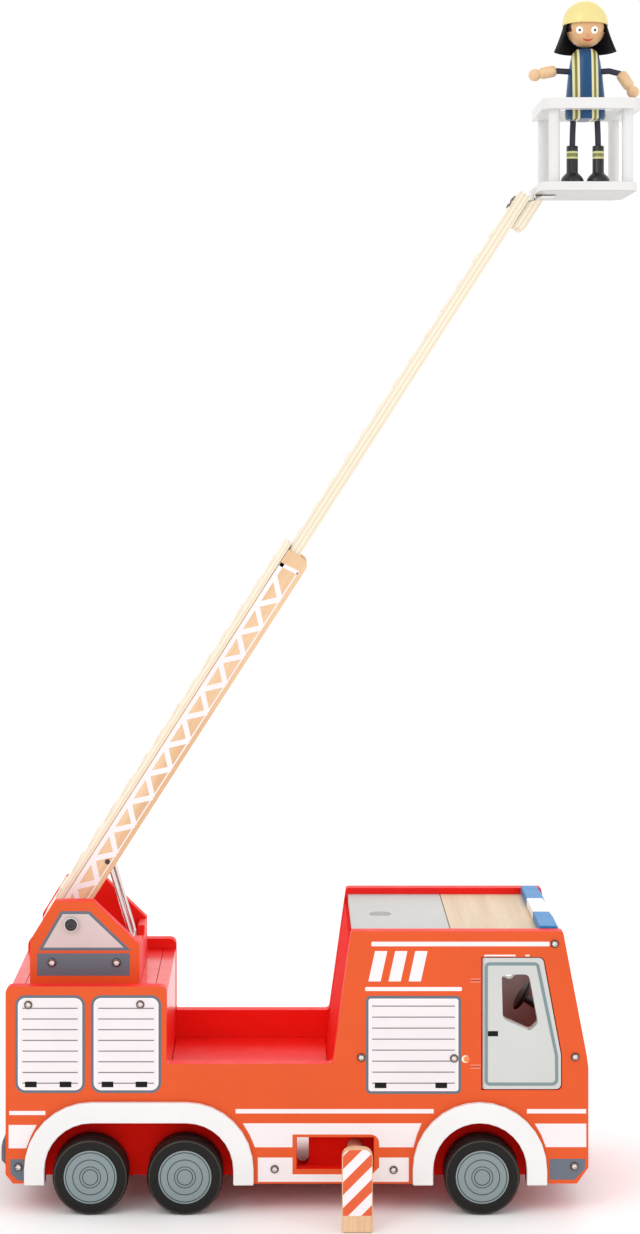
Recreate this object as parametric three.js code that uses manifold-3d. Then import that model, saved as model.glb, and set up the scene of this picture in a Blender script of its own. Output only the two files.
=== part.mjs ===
// Toy fire engine with a turntable ladder, a rescue cage and a bendy fire-fighter figure.
// Millimetres, +Z up. The engine drives towards +X; "near" is the -Y side and "far" the +Y side.
import * as THREE from 'three';
import Module from 'manifold-3d';
import { mergeVertices } from 'three/addons/utils/BufferGeometryUtils.js';

const wasm = await Module();
wasm.setup();

// ---- Driving dimensions -------------------------------------------------------------------
const GAP = 0.3; // joint left between touching pieces
const WALL = 9; // thickness of the painted boards

const HALF_LENGTH = 200;
const HALF_WIDTH = 80;
const PANEL_INNER = HALF_WIDTH - WALL;
const CROSS = PANEL_INNER - GAP; // half width of every board between the side panels
const BODY_BOTTOM = 19.4;
const REAR_BODY_TOP = 154.7;
const REAR_BODY_FRONT = -89.5;
const BED_EDGE = 101.5;
const ROOF_EDGE = 192.6;
const CAB_REAR_FOOT = 24.4; // cab rear edge where it meets the bed edge
const CAB_REAR_LEAN = 0.1406; // forward lean of that edge per unit of height
const CAB_FRONT_TOP = 182.6;
const CAB_FRONT_KNEE = [198.9, 107.4];

const REAR_DECK = 147; // top of the board that carries the turntable
const BED_FLOOR = [72, 81];
const CAB_FLOOR = [74, 83];
const ROOF_BOARD = [179, 188];
const ROOF_SPLIT = 107; // where the sliding lid meets the fixed roof board
const NOTCH_TILT = THREE.MathUtils.degToRad(17); // of the lid's half-moon finger notch

const WHEEL_RADIUS = 26;
const WHEEL_FACES = [67.5, 87.7]; // inner and outer face, from the centre line
const WHEEL_X = { rear: -141.3, middle: -76.6, front: 126.6 };
const AXLE_RADIUS = 2.5;
const ARCH_HEIGHT = 29.9; // centre height of the wheel arches
const ARCH_X = { rear: -140.9, middle: -75.7, front: 125.3 };
const ARCH_INNER = 32;
const ARCH_OUTER = 46;
const FENDER_THICKNESS = 4.5;

const RAIL_FACES = [51.3, 60.3]; // chassis rail, from the centre line
const CROSS_BOARDS = [[-19.8, -10.8], [61.5, 70.5]];
const RECESS = { x: [-0.3, 52.8], z: [29.5, 51.3] };

const ARM = { x: 40.3, z: 39.1, radius: 5.5, inner: 36, outer: 115.7 };
const LEG = { halfWidth: 10.25, top: 17.1, bottom: 38.8, faces: [116, 124] };

const DOOR = { rear: 127, front: 181.2, bottom: 84.2, top: 174.3 };
const DOOR_PIN = { x: 130, y: 77, radius: 1.25, knuckle: 3 };
const DOOR_CLEARANCE = 0.6;
const STEERING = { centre: [163.6, 20, 124.3], column: [26, 0, -16.1] };

const TURN_X = -148;
const TURN_Z = REAR_DECK + 0.4;
const CHEEK_FACES = [41, 50];
const PIVOT = [-9.4, 43.9]; // ladder pivot in the turntable's own frame

const LADDER_ANGLE = THREE.MathUtils.degToRad(57.2);
const LADDER = { rear: -14, mouth: 300.3, bottom: -4.8, top: 13.2, faces: [17, 22] };
const UPPER = { rear: 270, front: 603.8, bottom: 3.9, top: 13.1, halfWidth: 19.3 };
const RUNG = { pitch: 21.4, length: 7, rise: 0.8 };
const STAY = { along: 44.5, rise: 1, length: 59.8, turn: 130.5, halfWidth: 14, radius: 1.6 };

const BLOCK_CUT = [[600.6, 3.6], [608.3, -4.8]]; // sloping top of the block under the ladder's end
const HINGE = { along: 607.1, rise: 0.55, barrel: 1.3, pin: 0.7, halfWidth: 9, knuckle: 4 };
const LEAF = 0.7; // thickness of the hinge's leaves

// Lengths in the cage are counted from its hinge pin.
const CAGE = { halfWidth: 47.5, corner: 10, floorX: [-0.5, 68.1], floor: [1.54, 8.04] };
const RING = { x: [1.4, 71.1], z: [59.2, 66.7], band: 11 };
const CAGE_POST = { x: [10, 61.5], y: 38, radius: 4 };

const FIGURE = { x: 33.6, y: -22 }; // where it stands on the cage floor
const HAND_RADIUS = 4.6;

// The whole model is centred between the bumper's back and the figure's forward hand.
const REAR_END = -203.6;
const FRONT_END = 243;
const CENTRE_X = (REAR_END + FRONT_END) / 2;

// ---- Colours ------------------------------------------------------------------------------
function paint(color, roughness = 0.45, metalness = 0) {
  return () => new THREE.MeshStandardMaterial({ color, roughness, metalness });
}
const RED = paint('#e9542f');
const WHITE = paint('#f4f2ee');
const SLATE = paint('#667080');
const GREY = paint('#c9cbd0');
const WOOD = paint('#ecc896', 0.6);
const PLY = paint('#f3e3c4', 0.6);
const BLACK = paint('#26282a', 0.5);
const BLUE = paint('#0f7cbc');
const STEEL = paint('#b9bcc0', 0.25, 1);
const NAVY = paint('#2b2c3d', 0.9);
const SKIN = paint('#cf9a66', 0.5);
const HELMET = paint('#f3df8c');

// ---- Geometry helpers ---------------------------------------------------------------------
function solidOf(geometry) {
  const bare = geometry.clone();
  bare.deleteAttribute('normal');
  bare.deleteAttribute('uv');
  const merged = mergeVertices(bare, 1e-4);
  const vertProperties = new Float32Array(merged.attributes.position.array);
  const triVerts = new Uint32Array(merged.index.array);
  return new wasm.Manifold(new wasm.Mesh({ numProp: 3, vertProperties, triVerts }));
}

function geometryOf(solid) {
  const mesh = solid.getMesh();
  const geometry = new THREE.BufferGeometry();
  geometry.setAttribute('position', new THREE.BufferAttribute(mesh.vertProperties, 3));
  geometry.setIndex(new THREE.BufferAttribute(mesh.triVerts, 1));
  geometry.computeVertexNormals();
  return geometry;
}

function cut(body, ...tools) {
  return geometryOf(tools.reduce((rest, tool) => rest.subtract(solidOf(tool)), solidOf(body)));
}

function join(body, ...others) {
  return geometryOf(others.reduce((sum, other) => sum.add(solidOf(other)), solidOf(body)));
}

// A closed outline from corners [x, y, radius]; a corner with a radius becomes an arc.
function outline(corners) {
  const points = [];
  const push = (x, y) => {
    const last = points[points.length - 1];
    if (!last || Math.hypot(last.x - x, last.y - y) > 1e-4) points.push(new THREE.Vector2(x, y));
  };
  corners.forEach(([x, y, radius = 0], i) => {
    if (radius === 0) {
      push(x, y);
      return;
    }
    const before = corners[(i + corners.length - 1) % corners.length];
    const after = corners[(i + 1) % corners.length];
    const corner = new THREE.Vector2(x, y);
    const u = new THREE.Vector2(before[0] - x, before[1] - y).normalize();
    const v = new THREE.Vector2(after[0] - x, after[1] - y).normalize();
    const half = Math.acos(THREE.MathUtils.clamp(u.dot(v), -1, 1)) / 2;
    const reach = radius / Math.tan(half);
    const centre = u.clone().add(v).normalize().multiplyScalar(radius / Math.sin(half)).add(corner);
    const start = corner.clone().addScaledVector(u, reach).sub(centre).angle();
    const end = corner.clone().addScaledVector(v, reach).sub(centre).angle();
    const sweep = THREE.MathUtils.euclideanModulo(end - start + Math.PI, 2 * Math.PI) - Math.PI;
    const stepsPerQuarter = radius > 20 ? 8 : 4;
    const steps = Math.max(2, Math.ceil((Math.abs(sweep) / (Math.PI / 2)) * stepsPerQuarter));
    for (let step = 0; step <= steps; step += 1) {
      const angle = start + (sweep * step) / steps;
      push(centre.x + radius * Math.cos(angle), centre.y + radius * Math.sin(angle));
    }
  });
  return points;
}

// Extrudes an X-Z outline between two Y values, in either order.
function boardY(points, yA, yB) {
  const [low, high] = [Math.min(yA, yB), Math.max(yA, yB)];
  const options = { depth: high - low, bevelEnabled: false };
  const geometry = new THREE.ExtrudeGeometry(new THREE.Shape(points), options);
  return geometry.rotateX(Math.PI / 2).translate(0, high, 0);
}

// Extrudes an X-Y outline between two Z values.
function slabZ(shape, low, high) {
  const geometry = new THREE.ExtrudeGeometry(shape, { depth: high - low, bevelEnabled: false });
  return geometry.translate(0, 0, low);
}

function box([x0, x1], [y0, y1], [z0, z1]) {
  const geometry = new THREE.BoxGeometry(x1 - x0, Math.abs(y1 - y0), z1 - z0);
  return geometry.translate((x0 + x1) / 2, (y0 + y1) / 2, (z0 + z1) / 2);
}

function crossBoard(x, z) {
  return box(x, [-CROSS, CROSS], z);
}

function rodY(x, z, radius, yA, yB, segments = 20) {
  const geometry = new THREE.CylinderGeometry(radius, radius, Math.abs(yB - yA), segments);
  return geometry.translate(x, (yA + yB) / 2, z);
}

function rodZ(x, y, radius, low, high, segments = 20) {
  const geometry = new THREE.CylinderGeometry(radius, radius, high - low, segments);
  return geometry.rotateX(Math.PI / 2).translate(x, y, (low + high) / 2);
}

function rodBetween(from, to, radius, segments = 12) {
  const a = new THREE.Vector3(...from);
  const direction = new THREE.Vector3(...to).sub(a);
  const geometry = new THREE.CylinderGeometry(radius, radius, direction.length(), segments);
  const up = new THREE.Vector3(0, 1, 0);
  const turn = new THREE.Quaternion().setFromUnitVectors(up, direction.clone().normalize());
  return geometry.applyQuaternion(turn).translate(...a.addScaledVector(direction, 0.5).toArray());
}

function ball([x, y, z], radius, around = 14) {
  return new THREE.SphereGeometry(radius, around, around / 2).translate(x, y, z);
}

// A piece turned about the Y axis (as LatheGeometry makes it) from [radius, height] pairs.
function turnedY(profile, segments) {
  return new THREE.LatheGeometry(profile.map(([r, h]) => new THREE.Vector2(r, h)), segments);
}

function turnedZ(profile, segments) {
  return turnedY(profile, segments).rotateX(Math.PI / 2);
}

// ---- Scene graph --------------------------------------------------------------------------
const model = new THREE.Group();
model.position.x = -CENTRE_X;

function add(parent, name, geometry, material) {
  const mesh = new THREE.Mesh(geometry, material());
  mesh.name = name;
  parent.add(mesh);
  return mesh;
}

const SIDES = { near: -1, far: 1 };

function eachSide(make) {
  Object.entries(SIDES).forEach(([name, side]) => make(name, side));
}

// ---- Body ---------------------------------------------------------------------------------
function cabRearEdge(z) {
  return CAB_REAR_FOOT + (z - BED_EDGE) * CAB_REAR_LEAN;
}

function archOutline(rear, front, radius, foot) {
  const top = ARCH_HEIGHT + radius;
  return outline([
    [rear - radius, foot],
    [rear - radius, top, radius],
    [front + radius, top, radius],
    [front + radius, foot],
  ]);
}

function panelOutline() {
  return outline([
    [-HALF_LENGTH + 5.2, BODY_BOTTOM],
    [HALF_LENGTH - 8, BODY_BOTTOM],
    [HALF_LENGTH, BODY_BOTTOM + 11.1],
    [HALF_LENGTH, 99],
    CAB_FRONT_KNEE,
    [CAB_FRONT_TOP, ROOF_EDGE, 2],
    [cabRearEdge(ROOF_EDGE), ROOF_EDGE, 2],
    [CAB_REAR_FOOT, BED_EDGE, 3],
    [REAR_BODY_FRONT, BED_EDGE, 1.5],
    [REAR_BODY_FRONT, REAR_BODY_TOP, 4.5],
    [-HALF_LENGTH, REAR_BODY_TOP, 4.5],
    [-HALF_LENGTH, BODY_BOTTOM + 6.3],
  ]);
}

function doorOutline(rear, grow) {
  return outline([
    [rear, DOOR.bottom - grow],
    [DOOR.front + grow, DOOR.bottom - grow, 3.5],
    [DOOR.front + grow, 107.8, 6],
    [168.8 + grow, DOOR.top + grow, 3.5],
    [rear, DOOR.top + grow],
  ]);
}

function sidePanel(side) {
  const [outer, inner] = [side * HALF_WIDTH, side * PANEL_INNER];
  const [past, behind] = [side * (HALF_WIDTH + 1), side * (PANEL_INNER - 1)];
  const foot = BODY_BOTTOM - 10;
  const rearArch = archOutline(ARCH_X.rear, ARCH_X.middle, ARCH_INNER, foot);
  const frontArch = archOutline(ARCH_X.front, ARCH_X.front, ARCH_INNER, foot);
  const pinHole = DOOR_PIN.radius + 0.35;
  const hingePin = rodZ(DOOR_PIN.x, side * DOOR_PIN.y, pinHole, DOOR.bottom - 6.5, DOOR.top + 6.5, 12);
  return cut(
    boardY(panelOutline(), outer, inner),
    boardY(rearArch, past, behind),
    boardY(frontArch, past, behind),
    box(RECESS.x, [past, behind], RECESS.z),
    boardY(doorOutline(DOOR.rear - DOOR_CLEARANCE, DOOR_CLEARANCE), past, behind),
    hingePin,
    box([20, ROOF_SPLIT], [behind, side * (PANEL_INNER + 3.2)], [181.8, 185.6]),
  );
}

function fender(rear, front, side) {
  const foot = BODY_BOTTOM;
  const [outerTop, innerTop] = [ARCH_HEIGHT + ARCH_OUTER, ARCH_HEIGHT + ARCH_INNER];
  const band = outline([
    [rear - ARCH_OUTER, foot],
    [rear - ARCH_OUTER, outerTop, ARCH_OUTER],
    [front + ARCH_OUTER, outerTop, ARCH_OUTER],
    [front + ARCH_OUTER, foot],
    [front + ARCH_INNER, foot],
    [front + ARCH_INNER, innerTop, ARCH_INNER],
    [rear - ARCH_INNER, innerTop, ARCH_INNER],
    [rear - ARCH_INNER, foot],
  ]);
  const back = HALF_WIDTH + GAP;
  return boardY(band, side * back, side * (back + FENDER_THICKNESS));
}

// Two rails, two cross boards and two inner guides, glued into one frame that carries the
// axles and lets the outrigger arms slide.
function chassisFrame() {
  const bottom = BODY_BOTTOM;
  const top = BED_FLOOR[0] - GAP;
  const fingerSlot = outline([[0, 26.3, 4], [8.3, 26.3, 4], [8.3, 49.3, 4], [0, 49.3, 4]]);
  const boards = [];
  const tools = [];
  eachSide((name, side) => {
    const faces = RAIL_FACES.map((face) => side * face);
    const past = [side * (RAIL_FACES[0] - 1), side * (RAIL_FACES[1] + 1)];
    boards.push(box([-190.4, 190.4], faces, [bottom, top]));
    boards.push(box([ARM.x - 20, CROSS_BOARDS[1][0] + 1], [side * 36, side * 45], [bottom, top]));
    tools.push(boardY(fingerSlot, ...past));
  });
  CROSS_BOARDS.forEach((x) => boards.push(crossBoard(x, [bottom, top])));
  Object.values(WHEEL_X).forEach((x) => {
    tools.push(rodY(x, WHEEL_RADIUS, AXLE_RADIUS + 0.4, -RAIL_FACES[1] - 1, RAIL_FACES[1] + 1));
  });
  tools.push(rodY(ARM.x, ARM.z, ARM.radius + 0.4, -RAIL_FACES[1] - 1, RAIL_FACES[1] + 1));
  return cut(join(...boards), ...tools);
}

function cabRearWall() {
  const wallAt = (z, inset) => [cabRearEdge(z) + inset, z];
  const [low, high] = [BED_FLOOR[0] + GAP, 181.4];
  return [wallAt(low, 0.5), wallAt(low, 9.5), wallAt(high, 9.5), wallAt(high, 0.5)];
}

// The bed floor's front end leans with the cab's rear wall.
function bedFloor() {
  const rear = -89.8 + GAP;
  const [low, high] = BED_FLOOR;
  const frontAt = (z) => cabRearEdge(z) + 0.5 - GAP;
  return [[rear, low], [frontAt(low), low], [frontAt(high), high], [rear, high]];
}

// The leaning front of the cab with its open windscreen.
function windscreenFrame() {
  const frontAt = (z) => CAB_FRONT_KNEE[0] - (z - CAB_FRONT_KNEE[1]) * 0.191 - 0.5;
  const [foot, knee, top] = [99, CAB_FRONT_KNEE[1], ROOF_BOARD[0] - GAP];
  const section = outline([
    [190.6, foot],
    [199.4, foot],
    [frontAt(knee), knee],
    [frontAt(top), top],
    [frontAt(top) - WALL, top],
    [frontAt(knee) - WALL, knee],
  ]);
  const columnEnd = STEERING.centre.map((value, i) => value + STEERING.column[i]);
  const peg = rodBetween(STEERING.centre, columnEnd, 3.4, 16);
  return cut(boardY(section, -CROSS, CROSS), box([160, 205], [-58, 58], [126, 175]), peg);
}

function roofLid() {
  const [bottom, top] = [182.2, ROOF_BOARD[1]];
  const front = ROOF_SPLIT - GAP;
  const plate = box([38.6, front], [-CROSS, CROSS], [bottom, top]);
  const tongue = box([38.6, front], [-CROSS - 3.1, CROSS + 3.1], [bottom, bottom + 3]);
  const notchRadius = 8;
  const notchDepth = 2.4;
  const notch = new THREE.CylinderGeometry(notchRadius, notchRadius, 2 * notchDepth, 28);
  notch.rotateX(Math.PI / 2 - NOTCH_TILT).translate(60, 0, top + 0.6);
  return cut(join(plate, tongue), notch);
}

function lightBar() {
  const [bottom, top] = [ROOF_BOARD[1] + GAP, 194.4];
  const section = [[167.4, bottom], [182.2, bottom], [181.6, top - 3.5], [178.6, top], [167.4, top]];
  return boardY(outline(section), -CROSS, CROSS);
}

function bumper() {
  const front = -HALF_LENGTH - GAP;
  const section = [[front, 30], [front, 52], [REAR_END + 0.9, 47], [REAR_END, 43], [REAR_END, 33.5]];
  return boardY(outline(section), -74, 74);
}

function buildBody() {
  eachSide((name, side) => {
    add(model, `side_panel_${name}`, sidePanel(side), RED);
    add(model, `fender_rear_${name}`, fender(ARCH_X.rear, ARCH_X.middle, side), WHITE);
    add(model, `fender_front_${name}`, fender(ARCH_X.front, ARCH_X.front, side), WHITE);
    const [low, high] = [DOOR.bottom - 6, DOOR.top + 6];
    const pin = rodZ(DOOR_PIN.x, side * DOOR_PIN.y, DOOR_PIN.radius, low, high, 12);
    add(model, `door_pin_${name}`, pin, STEEL);
  });
  add(model, 'chassis_frame', chassisFrame(), RED);
  add(model, 'rear_wall', crossBoard([-199.7, -190.7], [26, REAR_DECK]), RED);
  const deck = crossBoard([-190.4, -99.1], [REAR_DECK - WALL, REAR_DECK]);
  const pinHole = rodZ(TURN_X, 0, 3.4, REAR_DECK - WALL - 1, REAR_DECK + 1);
  add(model, 'rear_deck', cut(deck, pinHole), RED);
  add(model, 'rear_box_front_wall', crossBoard([-98.8, -89.8], [BED_FLOOR[0], REAR_DECK]), RED);
  add(model, 'bed_floor', boardY(outline(bedFloor()), -CROSS, CROSS), RED);
  add(model, 'cab_rear_wall', boardY(outline(cabRearWall()), -CROSS, CROSS), RED);
  add(model, 'cab_floor', crossBoard([31.8, 190.4], CAB_FLOOR), RED);
  add(model, 'cab_front_wall', crossBoard([190.7, 199.7], [30.8, 98.7]), RED);
  add(model, 'windscreen_frame', windscreenFrame(), RED);
  add(model, 'roof_board', crossBoard([ROOF_SPLIT + GAP, 182.9], ROOF_BOARD), WOOD);
  add(model, 'light_bar', lightBar(), BLUE);
  add(model, 'rear_bumper', bumper(), SLATE);
  add(model, 'roof_lid', roofLid(), GREY);
  const kingPin = join(
    rodZ(TURN_X, 0, 3, 131, 159),
    rodZ(TURN_X, 0, 6.5, 156.8, 160.3, 6),
    rodZ(TURN_X, 0, 6.5, 130, 136, 6),
  );
  add(model, 'turntable_pin', kingPin, STEEL);
}

// ---- Doors and steering wheel -------------------------------------------------------------
function door(side) {
  const [outer, inner] = [side * HALF_WIDTH, side * PANEL_INNER];
  const [past, behind] = [side * (HALF_WIDTH + 1), side * (PANEL_INNER - 1)];
  const [px, py] = [DOOR_PIN.x, side * DOOR_PIN.y];
  const window = outline([
    [140.5, 162.6, 3],
    [159.2, 163, 4],
    [165.5, 129.4, 4],
    [159.8, 124.1, 3],
    [141.3, 132.6, 4],
  ]);
  return cut(
    join(
      boardY(doorOutline(px, 0), outer, inner),
      rodZ(px, py, DOOR_PIN.knuckle, DOOR.bottom, DOOR.top, 24),
    ),
    rodZ(px, py, DOOR_PIN.radius + 0.35, DOOR.bottom - 1, DOOR.top + 1, 12),
    boardY(window, past, behind),
  );
}

function buildCabPieces() {
  eachSide((name, side) => add(model, `door_${name}`, door(side), GREY));
  const rim = turnedY([[0, -1.5], [9.5, -1.5], [11, -0.6], [11, 0.6], [9.5, 1.5], [0, 1.5]], 24);
  const column = rodY(0, 0, 3, 1, 29, 16);
  const wheel = add(model, 'steering_wheel', join(rim, column), BLACK);
  wheel.position.set(...STEERING.centre);
  const columnAxis = new THREE.Vector3(...STEERING.column).normalize();
  wheel.quaternion.setFromUnitVectors(new THREE.Vector3(0, 1, 0), columnAxis);
}

// ---- Wheels and axles ---------------------------------------------------------------------
function wheelGeometry() {
  const [inner, outer] = WHEEL_FACES;
  return turnedY([
    [0, outer],
    [24.4, outer],
    [25.4, outer - 1],
    [WHEEL_RADIUS, outer - 2.6],
    [WHEEL_RADIUS, outer - 7.2],
    [WHEEL_RADIUS - 1, outer - 8],
    [WHEEL_RADIUS - 1, outer - 9],
    [WHEEL_RADIUS, outer - 9.8],
    [WHEEL_RADIUS, inner + 3],
    [WHEEL_RADIUS - 3, inner],
    [AXLE_RADIUS + GAP, inner],
    [AXLE_RADIUS + GAP, inner + 12],
    [0, inner + 12],
  ].reverse(), 32);
}

function buildWheels() {
  Object.entries(WHEEL_X).forEach(([place, x]) => {
    const end = WHEEL_FACES[0] + 11.7;
    add(model, `axle_${place}`, rodY(x, WHEEL_RADIUS, AXLE_RADIUS, -end, end), STEEL);
    eachSide((name, side) => {
      const wheel = add(model, `wheel_${place}_${name}`, wheelGeometry(), BLACK);
      wheel.position.set(x, 0, WHEEL_RADIUS);
      wheel.rotation.x = side > 0 ? 0 : Math.PI;
    });
  });
}

// ---- Outriggers ---------------------------------------------------------------------------
function buildOutriggers() {
  const legOutline = outline([
    [-LEG.halfWidth, -LEG.bottom],
    [LEG.halfWidth, -LEG.bottom],
    [LEG.halfWidth, LEG.top, 6],
    [-LEG.halfWidth, LEG.top, 6],
  ]);
  eachSide((name, side) => {
    const outrigger = new THREE.Group();
    outrigger.position.set(ARM.x, 0, ARM.z);
    model.add(outrigger);
    const arm = rodY(0, 0, ARM.radius, side * ARM.inner, side * ARM.outer);
    const pin = rodY(0, 0, 2.5, side * (ARM.outer - 1), side * (ARM.outer + 5.5));
    add(outrigger, `outrigger_arm_${name}`, join(arm, pin), WOOD);
    const plate = boardY(legOutline, side * LEG.faces[0], side * LEG.faces[1]);
    const socket = rodY(0, 0, 2.9, side * (LEG.faces[0] - 1), side * (LEG.faces[0] + 5.6));
    add(outrigger, `outrigger_leg_${name}`, cut(plate, socket), WHITE);
  });
}

// ---- Turntable ----------------------------------------------------------------------------
function buildTurntable() {
  const turntable = new THREE.Group();
  turntable.position.set(TURN_X, 0, TURN_Z);
  model.add(turntable);
  const cheekInner = CHEEK_FACES[0] - GAP;
  const [front, wallBack] = [38.1, 32.8];
  const plate = box([-38.3, wallBack - GAP], [-cheekInner, cheekInner], [0, WALL]);
  add(turntable, 'turntable_plate', cut(plate, rodZ(0, 0, 3.4, -1, WALL + 1)), RED);
  const cheek = outline([
    [-38.3, 0],
    [front, 0],
    [front, 29.2, 1.5],
    [5.8, 59.9, 2],
    [-20.9, 59.9, 2],
    [-38.3, 32, 2],
  ]);
  eachSide((name, side) => {
    const faces = CHEEK_FACES.map((face) => side * face);
    const hole = rodY(...PIVOT, 3.35, side * (CHEEK_FACES[0] - 1), side * (CHEEK_FACES[1] + 1));
    add(turntable, `turntable_cheek_${name}`, cut(boardY(cheek, ...faces), hole), RED);
  });
  const wall = box([wallBack, front], [-cheekInner, cheekInner], [0, 28.9]);
  const notch = box([wallBack - 1, front + 1], [-17, 17], [22.4, 30]);
  add(turntable, 'turntable_front_wall', cut(wall, notch), RED);
  const boltEnd = CHEEK_FACES[1] + 0.4;
  const bolt = join(
    rodY(...PIVOT, 3, -boltEnd - 1, boltEnd + 1),
    rodY(...PIVOT, 5, -boltEnd - 3, -boltEnd),
    rodY(...PIVOT, 5, boltEnd, boltEnd + 3),
  );
  const socket = rodY(...PIVOT, 2.6, -boltEnd - 4, -boltEnd - 1.4, 6);
  add(turntable, 'ladder_pivot_bolt', cut(bolt, socket), STEEL);
  return turntable;
}

// ---- Ladder -------------------------------------------------------------------------------
// A long strip in the ladder's side view with raised rungs along its top.
function rungStrip(rear, front, bottom, top, firstRung) {
  const valley = top - RUNG.rise;
  const points = [[rear, bottom], [front, bottom], [front, valley]];
  const rungs = Math.floor((front - firstRung) / RUNG.pitch);
  for (let rung = rungs - 1; rung >= 0; rung -= 1) {
    const start = firstRung + rung * RUNG.pitch;
    const end = start + RUNG.length;
    points.push([end, valley], [end, top], [start, top], [start, valley]);
  }
  points.push([rear, valley]);
  return outline(points);
}

function ladderRail(side) {
  const [inner, outer] = LADDER.faces.map((face) => side * face);
  const profile = outline([
    [LADDER.rear, LADDER.bottom, 4],
    [LADDER.mouth, LADDER.bottom, 5],
    [LADDER.mouth, LADDER.top],
    [LADDER.rear, LADDER.top],
  ]);
  const ledge = UPPER.bottom - GAP;
  const past = side * (LADDER.faces[0] - 1);
  const rebate = [past, side * (UPPER.halfWidth + GAP)];
  return cut(
    boardY(profile, inner, outer),
    box([LADDER.rear - 1, LADDER.mouth + 1], rebate, [ledge, LADDER.top + 1]),
    rodY(0, 0, 3.35, past, side * (LADDER.faces[1] + 1)),
    rodY(STAY.along, STAY.rise, STAY.radius + 0.4, past, side * (LADDER.faces[1] + 1), 16),
  );
}

function stayWire() {
  const { length, halfWidth, radius } = STAY;
  const end = LADDER.faces[1] - 0.4;
  const route = [[0, -end, 0], [0, -halfWidth, 0], [length, -halfWidth, 0]];
  route.push([length, halfWidth, 0], [0, halfWidth, 0], [0, end, 0]);
  const pieces = [];
  for (let i = 1; i < route.length; i += 1) {
    pieces.push(rodBetween(route[i - 1], route[i], radius));
    if (i < route.length - 1) pieces.push(ball(route[i], radius, 12));
  }
  return join(...pieces);
}

function buildLadder(turntable) {
  const ladder = new THREE.Group();
  ladder.position.set(PIVOT[0], 0, PIVOT[1]);
  ladder.rotation.y = -LADDER_ANGLE;
  turntable.add(ladder);
  eachSide((name, side) => add(ladder, `ladder_rail_${name}`, ladderRail(side), WOOD));
  const [deckBottom, deckTop] = [LADDER.top + GAP, LADDER.top + 5.5];
  const deck = rungStrip(LADDER.rear, LADDER.mouth + 3.5, deckBottom, deckTop, 4);
  add(ladder, 'ladder_rung_board', boardY(deck, -LADDER.faces[1], LADDER.faces[1]), PLY);
  const stay = add(ladder, 'stay_wire', stayWire(), STEEL);
  stay.position.set(STAY.along, 0, STAY.rise);
  stay.rotation.y = THREE.MathUtils.degToRad(STAY.turn);

  const plank = rungStrip(UPPER.rear, UPPER.front, UPPER.bottom, UPPER.top, 310);
  add(ladder, 'upper_ladder', boardY(plank, -UPPER.halfWidth, UPPER.halfWidth), PLY);
  const [cutHigh, cutLow] = BLOCK_CUT;
  const start = 581;
  const block = outline([[start, cutLow[1], 2], cutLow, cutHigh, [start, cutHigh[1]]]);
  add(ladder, 'upper_ladder_block', boardY(block, -17, 17), PLY);
  return ladder;
}

// ---- Cage ---------------------------------------------------------------------------------
// The leaf screwed to the block's sloping top; its frame starts at the top of that slope.
function buildFixedLeaf(ladder) {
  const [from, to] = BLOCK_CUT;
  const slope = Math.atan2(to[1] - from[1], to[0] - from[0]);
  const seat = new THREE.Group();
  seat.position.set(from[0], 0, from[1]);
  seat.rotation.y = -slope;
  ladder.add(seat);
  const pin = new THREE.Vector2(HINGE.along - from[0], HINGE.rise - from[1]);
  pin.rotateAround(new THREE.Vector2(), -slope);
  const { barrel, halfWidth, knuckle } = HINGE;
  const leaf = join(
    box([0.6, pin.x - barrel - 0.5], [-halfWidth, halfWidth], [0.35, 0.35 + LEAF]),
    box([pin.x - barrel - 1.5, pin.x], [-knuckle, knuckle], [0.35, 0.35 + LEAF]),
    box([pin.x - barrel, pin.x - barrel + LEAF], [-knuckle, knuckle], [0.35, pin.y]),
    rodY(pin.x, pin.y, barrel, -knuckle, knuckle, 16),
  );
  const bore = rodY(pin.x, pin.y, HINGE.pin + 0.35, -knuckle - 1, knuckle + 1, 12);
  add(seat, 'cage_hinge_fixed_leaf', cut(leaf, bore), STEEL);
}

function movingLeaf() {
  const { barrel, halfWidth, knuckle } = HINGE;
  const top = CAGE.floor[0] - GAP;
  const pieces = [
    box([barrel + 0.5, 14], [-halfWidth, halfWidth], [top - LEAF, top]),
    rodY(0, 0, HINGE.pin, -halfWidth, halfWidth, 12),
  ];
  eachSide((name, side) => {
    const span = [side * (knuckle + 0.3), side * halfWidth];
    pieces.push(box([0, barrel + 1], span, [top - LEAF, top]));
    pieces.push(rodY(0, 0, barrel, ...span, 16));
  });
  return join(...pieces);
}

function roundedPlan(x0, x1, halfWidth, radius) {
  return outline([
    [x0, -halfWidth, radius],
    [x1, -halfWidth, radius],
    [x1, halfWidth, radius],
    [x0, halfWidth, radius],
  ]);
}

function cageFrame() {
  const [rear, front] = RING.x;
  const { band } = RING;
  const ring = new THREE.Shape(roundedPlan(rear, front, CAGE.halfWidth, CAGE.corner));
  ring.holes.push(new THREE.Path(roundedPlan(rear + band, front - band, CAGE.halfWidth - band, 5)));
  const pieces = [slabZ(ring, ...RING.z)];
  const low = CAGE.floor[1] + GAP;
  CAGE_POST.x.forEach((x) => {
    eachSide((name, side) => {
      pieces.push(rodZ(x, side * CAGE_POST.y, CAGE_POST.radius, low, RING.z[0] + 1, 16));
    });
  });
  return join(...pieces);
}

function buildCage(ladder) {
  const cage = new THREE.Group();
  cage.position.set(HINGE.along, 0, HINGE.rise);
  cage.rotation.y = LADDER_ANGLE;
  ladder.add(cage);
  const plan = new THREE.Shape(roundedPlan(...CAGE.floorX, CAGE.halfWidth, CAGE.corner));
  add(cage, 'cage_floor', slabZ(plan, ...CAGE.floor), WHITE);
  add(cage, 'cage_frame', cageFrame(), WHITE);
  add(cage, 'cage_hinge_moving_leaf', movingLeaf(), STEEL);
  return cage;
}

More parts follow.
